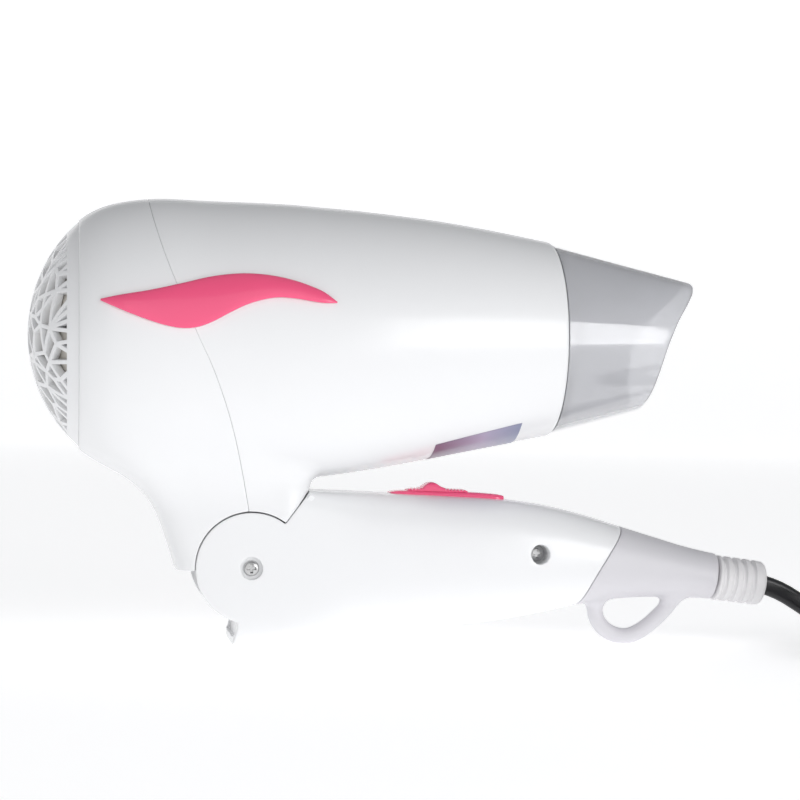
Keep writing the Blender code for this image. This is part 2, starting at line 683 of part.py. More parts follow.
def motor():
    """The motor in its vaned mount, with its shaft and the axial fan on it."""
    z = BARREL_Z
    shaft, bearing = 1.5, 1.56
    profile = [(0, bearing), (0, 12), (1.5, 14), (28, 14), (30, 12), (30, bearing)]
    lathe("motor", "steel", profile, (-52, 0, z), (1, 0, 0))
    rod("motor_shaft", "steel", (-68, 0, z), (-20, 0, z), shaft)
    mount = ring("motor_mount", "beige", (-50, 0, z), (-26, 0, z), 33.2, 34.6, 24)
    combine(mount, ring("mount_sleeve", None, (-49, 0, z), (-27, 0, z), 14.4, 15.8, 24), "UNION")
    for n in range(6):
        vane = box(f"vane_{n}", None, (-48, 15.2, -0.6), (-28, 33.8, 0.6))
        vane.matrix_world = (Matrix.Translation((0, 0, z * MM))
                             @ Matrix.Rotation(2 * math.pi * n / 6, 4, "X"))
        combine(mount, vane, "UNION")
    profile = [(0, bearing), (0, 9), (2, 11.5), (11, 12), (11, bearing)]
    fan = lathe("fan_impeller", "black", profile, (-67, 0, z), (1, 0, 0))
    for n in range(7):
        blade = box(f"blade_{n}", None, (-5, 11, -0.7), (5, 31.5, 0.7))
        blade.matrix_world = (Matrix.Translation((-61.3 * MM, 0, z * MM))
                              @ Matrix.Rotation(2 * math.pi * n / 7, 4, "X")
                              @ Matrix.Rotation(math.radians(35), 4, "Y"))
        combine(fan, blade, "UNION")


# Hinge

def hinge():
    """The neck's knuckle, the axle and washers that it turns on, and the screw at each end."""
    px, pz = PIVOT
    arc = [(px + KNUCKLE_RADIUS * math.cos(a), pz + KNUCKLE_RADIUS * math.sin(a))
           for a in (math.radians(t) for t in range(-190, 51, 20))]
    outline = arc + [(px + 8.0, 39.5), (px + 8.0, 46.5), (px - 14.5, 46.5)]
    knuckle = prism("hinge_knuckle", "white_gloss", outline, -KNUCKLE_HALF, KNUCKLE_HALF)
    tool = rod("knuckle_bore", None, (px, -20, pz), (px, 20, pz), AXLE_RADIUS + RUNNING_FIT)
    combine(knuckle, tool, "DIFFERENCE")
    profile = [(3.4, 0), (3.4, 1.3), (0, 1.3), (0, AXLE_RADIUS), (28, AXLE_RADIUS), (28, 1.3),
               (24.6, 1.3), (24.6, 0)]
    lathe("hinge_axle", "steel", profile, (px, -14, pz), (0, 1, 0))
    for name, side in (("right", -1), ("left", 1)):
        ring(f"hinge_washer_{name}", "nylon", (px, side * 10.0, pz), (px, side * 14.0, pz),
             AXLE_RADIUS + RUNNING_FIT, 7.5)
        screw(f"pivot_screw_{name}", (px, side * 15.5, pz), (0, side, 0), 2.35, 1.2, 1.2, 4.4)


def screw(name, seat, outward, head, tall, shank, length):
    """A domed screw with a cross recess, from the seat of its head."""
    profile = [(-length, 0), (-length, shank), (0, shank), (0, head), (0.45 * tall, head),
               (0.85 * tall, 0.72 * head), (tall, 0.35 * head), (tall, 0)]
    obj = lathe(name, "steel", profile, seat, outward, 12)
    slot = 0.62 * head
    middle = Vector(seat) + Vector(outward) * tall
    arms = [(0.18 * head, slot), (slot, 0.18 * head)]
    for n, (wide, high) in enumerate(arms):
        low = middle - Vector((wide, 0.5, high))
        combine(obj, box(f"{name}_slot_{n}", None, low, middle + Vector((wide, 0.5, high))), "DIFFERENCE")


# Handle

def handle_shells():
    """The two halves of the handle, with a round cheek each, and the soft sleeve at its end."""
    skin = Skin(handle_field, (-90, -25, -8), (122, 25, 60), 7.0)
    sleeve = skin.copy()
    skin.cut(lambda p: p[:, 0] - sleeve_edge(p[:, 2]) + SLEEVE_GAP)
    other = skin.copy()
    px, pz = PIVOT
    for name, side, half in (("right", -1, skin), ("left", 1, other)):
        half.cut(lambda p: 0.12 - side * p[:, 1])
        shell = half.shell(f"handle_shell_{name}", "white_gloss", HANDLE_WALL)
        low, high = sorted((-side * 30, side * 0.15))
        combine(shell, box(f"middle_{name}", None, (-90, low, -20), (120, high, 70)), "DIFFERENCE")
        low, high = sorted((side * 0.15, side * 15.5))
        combine(shell, prism(f"mouth_wall_{name}", None, mouth_wall(), low, high), "UNION")
        combine(shell, prism(f"neck_room_{name}", None, neck_outline(), -30, 30), "DIFFERENCE")
        profile = [(10, 0), (10, 1.5), (15.4, 1.5), (15.4, 3.4), (20, 3.4), (20, 0)]
        combine(shell, lathe(f"pivot_hole_{name}", None, profile, (px, 0, pz), (0, side, 0)), "DIFFERENCE")
        bx, bz = BOSS
        reach = 14.0
        if side < 0:
            post = rod("screw_post", None, (bx, -6.0, bz), (bx, -reach, bz), 4.8, 12)
            profile = [(2, 0), (2, 1.3), (8, 1.3), (8, 3.05), (20, 3.05), (20, 0)]
        else:
            post = rod("screw_seat", None, (bx, -4.6, bz), (bx, reach, bz), 3.8, 12)
            profile = [(-8, 0), (-8, 1.05), (5, 1.05), (5, 0)]
        combine(shell, post, "UNION")
        combine(shell, lathe(f"screw_hole_{name}", None, profile, (bx, 0, bz), (0, side, 0)), "DIFFERENCE")
        combine(shell, box(f"switch_slot_{name}", None, (SLOT[0], -1.9, 40), (SLOT[1], 1.9, 60)), "DIFFERENCE")
    screw("handle_screw", (BOSS[0], -8.1, BOSS[1]), (0, -1, 0), 2.6, 1.6, 0.95, 10.5)
    sleeve.cut(lambda p: sleeve_edge(p[:, 2]) + SLEEVE_GAP - p[:, 0])
    sleeve.cut(lambda p: along_relief(p) - SLEEVE_END)
    obj = sleeve.shell("end_sleeve", "grey_soft", 2.1)
    route = smooth_route([(60.6, 0, 15.5), (59.9, 0, 10.4), (61.0, 0, 7.2), (63.6, 0, 4.4), (67.6, 0, 2.6),
                          (71.2, 0, 2.6), (75.0, 0, 4.4), (78.8, 0, 7.2), (82.4, 0, 10.6),
                          (85.0, 0, 13.8), (86.2, 0, 15.6)], 3.4)
    loop = sweep("hang_loop", None, route, circle((0, 0), 2.5, 10, math.pi / 10), up=(0, 1, 0))
    for vert in loop.data.vertices:
        vert.co.z = max(vert.co.z, floor_at(vert.co.x / MM) * MM)
    combine(obj, loop, "UNION")


def along_relief(p):
    """How far the points lie along the strain relief, from its inner end."""
    reach = np.array((RELIEF_END[0] - RELIEF_START[0], RELIEF_END[1] - RELIEF_START[1]))
    reach /= np.linalg.norm(reach)
    return (p[:, 0] - RELIEF_START[0]) * reach[0] + (p[:, 2] - RELIEF_START[1]) * reach[1]


def strain_relief():
    """The ribbed, tapered guard round the lead where it leaves the handle."""
    start, end = [Vector((x, 0, z)) for x, z in (RELIEF_START, RELIEF_END)]
    along = end - start
    length = along.length
    profile = [(0, 0), (0, 4.1), (SLEEVE_END + 0.7, 4.1), (SLEEVE_END + 0.7, 7.2)]
    for n in range(4):
        at = 9.3 + 3.1 * n
        profile += [(at, 7.15), (at + 0.5, 6.1), (at + 1.0, 6.1), (at + 1.5, 7.1)]
    profile += [(length - 1.4, 7.0), (length, 5.9), (length, 0)]
    obj = lathe("strain_relief", "rib_grey", profile, start, along, 14)
    reach = along.normalized() * 2
    combine(obj, rod("relief_bore", None, start - reach, end + reach, CORD_RADIUS + 0.5, 14), "DIFFERENCE")


def switch():
    """The slide switch: its plate, the sliding button and the contact block below."""
    top = curve(PLATE_TOP)
    start, end = PLATE_TOP[0][0], PLATE_TOP[-1][0]
    rows = []
    bm = bmesh.new()
    for n in range(9):
        x = start + (end - start) * n / 8
        base, crest = float(handle_top(x)) + 0.05, float(top(x))
        half = 4.6 if 0 < n < 8 else 3.4
        section = [(-half, base), (half, base), (half, (base + crest) / 2), (0.7 * half, crest),
                   (-0.7 * half, crest), (-half, (base + crest) / 2)]
        rows.append([bm.verts.new((x, y, z)) for y, z in section])
    close_rings(bm, rows, capped=True)
    plate = finished("switch_plate", bm, "pink_gloss")
    combine(plate, box("plate_slot", None, (SLOT[0], -1.9, 40), (SLOT[1], 1.9, 60)), "DIFFERENCE")
    under = curve(SLIDER_UNDER)
    rows = []
    bm = bmesh.new()
    for n, (x, lift) in enumerate(SLIDER_LIFTS):
        low = float(under(x))
        half = 4.1 if 0 < n < len(SLIDER_LIFTS) - 1 else 3.3
        section = [(-half, low), (half, low), (half, low + 0.6 * lift), (0.6 * half, low + lift),
                   (-0.6 * half, low + lift), (-half, low + 0.6 * lift)]
        rows.append([bm.verts.new((x, y, z)) for y, z in section])
    close_rings(bm, rows, capped=True)
    slider = finished("switch_slider", bm, "pink_gloss")
    combine(slider, box("slider_stem", None, (5.2, -1.2, 44.2), (9.2, 1.2, 49.3)), "UNION")
    box("switch_body", "black", (0.0, -5.0, 30.0), (28.0, 5.0, 43.2))


def leads():
    """The clamp on the mains lead and the two wires from it to the switch."""
    box("cord_clamp", "nylon", (70.0, -4.2, 19.4), (76.0, 4.2, 21.4))
    for name, side, finish in (("live_lead", -1, "copper_red"), ("neutral_lead", 1, "copper_blue")):
        route = smooth_route([(86.0, side * 1.6, 22.6), (74.0, side * 2.4, 23.2), (58.0, side * 4.0, 20.5),
                              (40.0, side * 5.5, 19.0), (27.0, side * 5.0, 22.0), (21.0, side * 3.2, 29.6)],
                             5.0)
        sweep(name, finish, route, circle((0, 0), 0.9, 6))


# Mains lead

def mains_lead():
    """The lead down to the floor, the coil that holds its spare length, the tie and the plug."""
    cx, cy = COIL_CENTRE
    inner, outer = COIL_RADII
    low, high = COIL_HEIGHTS
    round_run = outer + 0.35 + CORD_RADIUS
    route = [Vector(p) for p in CORD_ROUTE]
    for n in range(7):
        turn = math.radians(90 - CORD_WRAP * n / 6)
        route.append(Vector((cx + round_run * math.cos(turn), cy + round_run * math.sin(turn), CORD_LOW)))
    tube("mains_cord", "black", smooth_route(route, 2.5 * CORD_RADIUS * 2), CORD_RADIUS)
    middle = (high - low) / 2
    profile = [(0, inner + 3), (0, outer - 3), (1.2, outer - 0.9), (3.2, outer), (2 * middle - 3.2, outer),
               (2 * middle - 1.2, outer - 0.9), (2 * middle, outer - 3), (2 * middle, inner + 3),
               (2 * middle - 1.2, inner + 0.9), (2 * middle - 3.2, inner), (3.2, inner),
               (1.2, inner + 0.9)]
    lathe("cord_coil", "black", profile, (cx, cy, low), (0, 0, 1), 28)
    tie = box("cord_tie", "black", (cx - 3, cy - outer - 1.4, 0.0), (cx + 3, cy - inner + 1.4, high + 1.0))
    hole = box("tie_hole", None, (cx - 9, cy - outer - 0.6, 0.6), (cx + 9, cy - inner + 0.6, high + 0.4))
    combine(tie, hole, "DIFFERENCE")
    plug_low = high + 0.4
    side = [(0, plug_low + 4.6), (0, plug_low + 9.4), (12, plug_low + 11.6), (30, plug_low + 13.5),
            (36, plug_low + 14), (36, plug_low), (30, plug_low), (12, plug_low + 2.4)]
    x, y = cx - 15, cy + 26
    plug = prism("plug_body", "black", [(x + a, b) for a, b in side], y - 11, y + 11)
    for name, shift in (("left", 6.35), ("right", -6.35)):
        box(f"plug_pin_{name}", "brass", (x + 36.3, y + shift - 0.75, plug_low + 3.9),
            (x + 53.0, y + shift + 0.75, plug_low + 10.1))
    bevel = plug.modifiers.new("edges", "BEVEL")
    bevel.width = 2.2 * MM
    bevel.segments = 2
    bevel.limit_method = "ANGLE"


def stand_up():
    """Turns the level drawing nose up, so that the heel and the loop both meet the floor."""
    (x1, z1), (x2, z2) = FLOOR
    tilt = math.atan2(z1 - z2, x2 - x1)
    low = z1 * math.cos(tilt) + x1 * math.sin(tilt)
    stand = Matrix.Translation((CENTRING * MM, 0, -low * MM)) @ Matrix.Rotation(-tilt, 4, "Y")
    for obj in bpy.data.objects:
        obj.matrix_world = stand @ obj.matrix_world


def put_origin(names, point):
    """Moves the objects' origins to a point on their joint's axis, and leaves their shapes in place."""
    for name in names:
        obj = bpy.data.objects[name]
        obj.data.transform(Matrix.Translation(-Vector(point) * MM))
        obj.matrix_world = Matrix.Translation(Vector(point) * MM)


def main():
    for obj in list(bpy.data.objects):
        bpy.data.objects.remove(obj, do_unlink=True)
    housings()
    grille()
    leaf_trims()
    rating_label()
    heater()
    motor()
    hinge()
    outlet_nozzle()
    handle_shells()
    strain_relief()
    switch()
    leads()
    put_origin(HEAD_NODES, (PIVOT[0], 0, PIVOT[1]))
    put_origin(("fan_impeller", "motor_shaft", "outlet_nozzle"), (0, 0, BARREL_Z))
    put_origin(("switch_slider",), (7.2, 0, 49.0))
    stand_up()
    mains_lead()


main()
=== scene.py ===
"""Looks of a folding travel hair dryer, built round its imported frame.

Lengths are in millimetres until a mesh is made, which takes metres. The dryer is drawn with its
barrel level along X, outlet to +X and its right side to -Y. STANCE then turns it a little, nose up,
to stand folded on the heel of its handle and on its hanging loop. The mains lead and the plug are
drawn standing on the floor.
"""

from __future__ import annotations

import logging
import math
import random
from collections.abc import Callable, Iterable, Sequence
from dataclasses import dataclass, field
from enum import Enum

import bmesh
import bpy
import numpy as np
from mathutils import Matrix, Vector
from mathutils.geometry import delaunay_2d_cdt

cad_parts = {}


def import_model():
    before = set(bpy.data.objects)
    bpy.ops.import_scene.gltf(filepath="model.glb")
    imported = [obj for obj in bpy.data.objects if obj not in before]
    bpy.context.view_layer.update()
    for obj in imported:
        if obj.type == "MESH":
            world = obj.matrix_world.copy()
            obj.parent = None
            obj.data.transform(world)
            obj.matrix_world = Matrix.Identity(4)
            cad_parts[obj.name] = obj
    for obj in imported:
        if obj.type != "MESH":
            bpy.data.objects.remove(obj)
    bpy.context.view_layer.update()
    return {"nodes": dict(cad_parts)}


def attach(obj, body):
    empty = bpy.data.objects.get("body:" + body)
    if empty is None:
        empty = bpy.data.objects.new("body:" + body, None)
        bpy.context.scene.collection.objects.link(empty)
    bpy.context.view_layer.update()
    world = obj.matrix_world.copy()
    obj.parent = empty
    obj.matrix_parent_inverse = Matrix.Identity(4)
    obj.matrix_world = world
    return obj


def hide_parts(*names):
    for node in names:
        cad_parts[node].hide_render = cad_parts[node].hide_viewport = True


Field = Callable[[np.ndarray], np.ndarray]
Pairs = Sequence[tuple[float, float]]
Reading = Callable[[float], float]

MM = 0.001
TINY = 1e-9
FLAT = Matrix.Identity(4)
LOG = logging.getLogger("hair_dryer")


# Curves, fields and the stance


class Side(Enum):
    """The two sides of the dryer, by the sign of Y."""

    RIGHT = -1
    LEFT = 1


class Curve:
    """A smooth function through (x, y) points, level outside them."""

    def __init__(self, points: Pairs) -> None:
        """Keeps the points and the slope at each."""
        self.xs, self.ys = np.array(points, float).T
        self.slopes = np.gradient(self.ys, self.xs)

    def __call__(self, x: np.ndarray | float) -> np.ndarray:
        """Returns the curve's height at x."""
        x = np.clip(x, self.xs[0], self.xs[-1])
        i = np.clip(np.searchsorted(self.xs, x) - 1, 0, len(self.xs) - 2)
        h = self.xs[i + 1] - self.xs[i]
        t = (x - self.xs[i]) / h
        start = (1 + 2 * t) * (1 - t) ** 2 * self.ys[i] + t * (1 - t) ** 2 * h * self.slopes[i]
        end = t * t * (3 - 2 * t) * self.ys[i + 1] + t * t * (t - 1) * h * self.slopes[i + 1]
        return start + end


def soft_max(a: np.ndarray, b: np.ndarray, k: float | np.ndarray) -> np.ndarray:
    """Returns the larger of two fields, rounded over a width k where they are close."""
    return np.maximum(a, b) + np.maximum(k - np.abs(a - b), 0) ** 2 / (4 * k)


def soft_min(a: np.ndarray, b: np.ndarray, k: float | np.ndarray) -> np.ndarray:
    """Returns the smaller of two fields, rounded over a width k where they are close."""
    return -soft_max(-a, -b, k)


@dataclass(frozen=True)
class Stance:
    """How the level drawing is turned to stand on its heel and its loop."""

    heel: tuple[float, float] = (-53.5, 3.3)
    loop: tuple[float, float] = (70.5, 0.4)
    centring: float = 2.03

    def floor_at(self, x: np.ndarray | float) -> np.ndarray | float:
        """Returns the height of the floor under the level drawing."""
        (x1, z1), (x2, z2) = self.heel, self.loop
        return z1 + (z2 - z1) * (x - x1) / (x2 - x1)

    def matrix(self) -> Matrix:
        """Returns the turn and the shift, in metres."""
        (x1, z1), (x2, z2) = self.heel, self.loop
        tilt = math.atan2(z1 - z2, x2 - x1)
        low = z1 * math.cos(tilt) + x1 * math.sin(tilt)
        shift = Matrix.Translation((self.centring * MM, 0, -low * MM))
        return shift @ Matrix.Rotation(-tilt, 4, "Y")


STANCE = Stance()
STAND = STANCE.matrix()


@dataclass(frozen=True)
class BarrelForm:
    """The barrel's outer surface, round about a middle line that sags a little under the motor.

    The height is that of the fan's, the heater's and the nozzle's common axis.
    """

    height: float = 96.0
    ends: tuple[float, float] = (-107.0, 56.0)
    middle: Curve = Curve([
        (-108, 96.8), (-98, 96.5), (-88, 96.2), (-77, 96.0), (-65, 95.7), (-52, 95.3), (-38, 94.9),
        (-27, 94.7), (-15, 95.0), (-2, 95.4), (10, 95.8), (23, 96.0), (48, 96.0)])
    radius: Curve = Curve([
        (-108, 24.9), (-101, 34.0), (-94, 38.6), (-87, 40.7), (-79, 41.8), (-62, 41.9), (-31, 41.6),
        (-2, 38.3), (20, 34.7), (48, 29.5)])

    def __call__(self, p: np.ndarray) -> np.ndarray:
        """Returns about how far each point is outside the barrel."""
        x, reach = p[:, 0], np.hypot(p[:, 1], p[:, 2] - self.middle(p[:, 0]))
        lean = (self.radius(x + 0.1) - self.radius(x - 0.1)) / 0.2
        side = (reach - self.radius(x)) / np.sqrt(1 + lean * lean)
        return np.maximum(side, np.maximum(x - self.ends[1], self.ends[0] - x))


@dataclass(frozen=True)
class HeadForm:
    """The barrel with its neck, which runs into it at neck_top and meets it in a fillet."""

    barrel: BarrelForm = BarrelForm()
    half: float = 16.8
    corner: float = 9.0
    neck_low: float = 14.0
    neck_top: float = 80.0
    rear: Curve = Curve([
        (14, -69.5), (25, -71.4), (37, -75.0), (47, -78.6), (60, -82.0), (80, -84.0)])
    front: Curve = Curve([(14, -31.6), (30, -31.6), (46, -31.4), (60, -31.0), (80, -31.0)])
    fillet: Curve = Curve([(-90, 15), (-70, 14), (-50, 12), (-38, 7), (-28, 4)])

    def __call__(self, p: np.ndarray) -> np.ndarray:
        """Returns about how far each point is outside the head."""
        x, y, z = p.T
        lengthways = np.maximum(self.rear(z) - x, x - self.front(z))
        upright = np.maximum(z - self.neck_top, self.neck_low - z)
        neck = soft_max(np.abs(y) - self.half, np.maximum(lengthways, upright), self.corner)
        return soft_min(self.barrel(p), neck, self.fillet(x))


@dataclass(frozen=True)
class HandleForm:
    """The handle's outer surface, a rounded square that turns round towards the lead."""

    top: Curve = Curve([
        (-80, 50.5), (-45, 50.5), (-28, 49.3), (-17, 48.9), (-6, 48.3), (12, 47.4), (31, 46.0),
        (45.5, 43.6), (57, 40.6), (68.7, 36.9), (78, 34.0), (89, 30.6), (100, 28.0), (116, 25.5)])
    bottom: Curve = Curve([
        (-80, 3.9), (-53, 3.3), (-47, 3.2), (-40, 3.8), (-24, 4.9), (-8, 5.9), (13, 7.1), (28, 8.6),
        (42, 10.8), (53, 12.8), (65, 14.4), (78, 14.8), (98.6, 13.8), (116, 11.3)])
    half: Curve = Curve([
        (-80, 16.8), (-30, 16.8), (0, 16.6), (25, 16.0), (45, 14.6), (60, 12.4), (78, 9.6),
        (100, 7.1), (116, 7.0)])
    squareness: Curve = Curve([
        (-80, 8.0), (-38, 8.0), (-20, 3.8), (0, 3.0), (40, 2.7), (65, 2.3), (80, 2.1), (116, 2.0)])
    ends: tuple[float, float] = (-78.0, 112.0)

    def __call__(self, p: np.ndarray) -> np.ndarray:
        """Returns about how far each point is outside the handle."""
        x, y, z = p.T
        top, bottom, half, n = self.top(x), self.bottom(x), self.half(x), self.squareness(x)
        tall = (top - bottom) / 2
        ratio = (np.abs(y / half) ** n + np.abs((z - (top + bottom) / 2) / tall) ** n) ** (1 / n)
        ends = np.maximum(x - self.ends[1], self.ends[0] - x)
        return np.maximum((ratio - 1) * np.minimum(half, tall), ends)


@dataclass(frozen=True)
class HingeForm:
    """Where the neck and the handle meet: a round cheek, the shoulder above it and the lip below.

    The shoulder's line is steep, so shoulder_slope scales its field to about a distance.
    """

    pivot: tuple[float, float] = (-49.5, 26.6)
    cheek: float = 16.6
    gap: float = 0.38
    shoulder_gap: float = 0.45
    shoulder_slope: float = 0.7
    shoulder_turn: float = 52.2
    lip_turn: float = 256.6
    corner: float = 0.5
    fillet: float = 0.8
    neck_bottom: float = 25.9
    shoulder: Curve = Curve([
        (-75, 6), (-62, 13), (-54.5, 20.1), (-49.5, 26.6), (-44.5, 33.0), (-39.6, 39.3),
        (-35.3, 44.6), (-32.0, 48.7), (-29.6, 50.6), (-27, 51.0), (60, 51.0)])

    def from_pivot(self, p: np.ndarray) -> np.ndarray:
        """Returns each point's distance from the hinge's axis."""
        return np.hypot(p[:, 0] - self.pivot[0], p[:, 2] - self.pivot[1])

    def head_cheek(self, p: np.ndarray) -> np.ndarray:
        """Returns over zero where the cheek takes the room from the neck."""
        return self.cheek + self.gap - self.from_pivot(p)

    def head_shoulder(self, p: np.ndarray) -> np.ndarray:
        """Returns over zero under the shoulder, where the handle is."""
        return (self.shoulder(p[:, 0]) + self.shoulder_gap - p[:, 2]) * self.shoulder_slope

    def handle_edge(self, p: np.ndarray) -> np.ndarray:
        """Returns over zero outside the cheek, above the shoulder and behind the lip."""
        x, z = p[:, 0] - self.pivot[0], p[:, 2] - self.pivot[1]
        up, lip = math.radians(self.shoulder_turn), math.radians(self.lip_turn)
        above = z * math.cos(up) - x * math.sin(up)
        behind = x * math.sin(lip) - z * math.cos(lip)
        outside = soft_max(above, behind, self.corner)
        return soft_min(self.from_pivot(p) - self.cheek, outside, self.fillet)


BARREL = BarrelForm()
HEAD = HeadForm()
HANDLE = HandleForm()
HINGE = HingeForm()
RELIEF_AXIS = ((91.0, 21.7), (114.3, 18.5))


# Meshes from fields


def slope(form: Field, points: np.ndarray, step: float = 0.02) -> np.ndarray:
    """Finds a field's gradient.

    Args:
        form: The field.
        points: The points, one to a row.
        step: How far apart the field is read.

    Returns:
        The gradient at each point, one to a row.
    """
    columns = []
    for axis in range(3):
        shift = np.zeros(3)
        shift[axis] = step
        columns.append((form(points + shift) - form(points - shift)) / (2 * step))
    return np.stack(columns, 1)


def press(forms: Sequence[Field], points: np.ndarray, steps: int) -> np.ndarray:
    """Moves points until every field is zero there.

    Args:
        forms: The fields, one to three of them.
        points: The points, one to a row.
        steps: How many times each point is moved.

    Returns:
        The moved points.
    """
    longest = 1.5
    for _ in range(steps):
        values = np.stack([form(points) for form in forms], 1)
        slopes = np.stack([slope(form, points) for form in forms], 1)
        move = (np.linalg.pinv(slopes, rcond=0.05) @ values[..., None])[..., 0]
        size = np.linalg.norm(move, axis=1, keepdims=True)
        points = points - move * np.minimum(1, longest / np.maximum(size, TINY))
    return points


def net(form: Field, low: Sequence[float], high: Sequence[float],
        cell: float) -> tuple[np.ndarray, np.ndarray]:
    """Covers a field's zero surface with four-sided faces.

    Args:
        form: The field, under zero inside the shape.
        low: The lowest corner of the room that is searched.
        high: Its highest corner.
        cell: The width of a face.

    Returns:
        The points, and the four corners of each face.
    """
    counts = [int(math.ceil((b - a) / cell)) + 1 for a, b in zip(low, high)]
    axes = [a + cell * np.arange(n) for a, n in zip(low, counts)]
    grid = np.stack(np.meshgrid(*axes, indexing="ij"), -1)
    value = form(grid.reshape(-1, 3)).reshape(counts)
    shape = [n - 1 for n in counts]
    total = np.zeros((math.prod(shape), 3))
    hits = np.zeros(math.prod(shape))
    quads = []
    for axis in range(3):
        first, second = [n for n in range(3) if n != axis]
        near = np.moveaxis(value, axis, 0)[:-1]
        far = np.moveaxis(value, axis, 0)[1:]
        crossed = np.argwhere((near < 0) != (far < 0))
        start, end = near[tuple(crossed.T)], far[tuple(crossed.T)]
        index = np.empty_like(crossed)
        index[:, axis], index[:, first], index[:, second] = crossed.T
        points = grid[tuple(index.T)].copy()
        points[:, axis] += cell * start / (start - end)
        corners = []
        for a, b in ((0, 0), (1, 0), (1, 1), (0, 1)):
            at = index.copy()
            at[:, first] -= a
            at[:, second] -= b
            spot = np.ravel_multi_index(tuple(at.T), shape)
            np.add.at(total, spot, points)
            np.add.at(hits, spot, 1)
            corners.append(spot)
        faces = np.stack(corners, 1)
        outward = (start < 0) != (axis == 1)
        quads.append(np.where(outward[:, None], faces, faces[:, ::-1]))
    used = np.flatnonzero(hits)
    number = np.full(len(hits), -1)
    number[used] = np.arange(len(used))
    points, faces = total[used] / hits[used][:, None], number[np.concatenate(quads)]
    return relaxed(form, points, faces), faces


def relaxed(form: Field, points: np.ndarray, faces: np.ndarray) -> np.ndarray:
    """Evens out the points of a net, and presses them back onto the surface.

    Args:
        form: The field that the net lies on.
        points: The net's points.
        faces: The four corners of each face.

    Returns:
        The moved points.
    """
    rounds, own_share = 3, 0.4
    ends = np.concatenate([faces[:, [n, (n + 1) % 4]] for n in range(4)])
    for _ in range(rounds):
        points = press([form], points, 1)
        near_by, count = np.zeros_like(points), np.zeros(len(points))
        np.add.at(near_by, ends[:, 0], points[ends[:, 1]])
        np.add.at(count, ends[:, 0], 1)
        points = own_share * points + (1 - own_share) * near_by / count[:, None]
    return press([form], points, 3)


@dataclass(frozen=True)
class Trim:
    """A line that a skin is cut along, and the radius that its edge is rounded to."""

    line: Field
    edge: float = 0.25

    def __call__(self, p: np.ndarray) -> np.ndarray:
        """Returns the line's field, moved inwards to leave room for the rounded edge."""
        return self.line(p) + self.edge


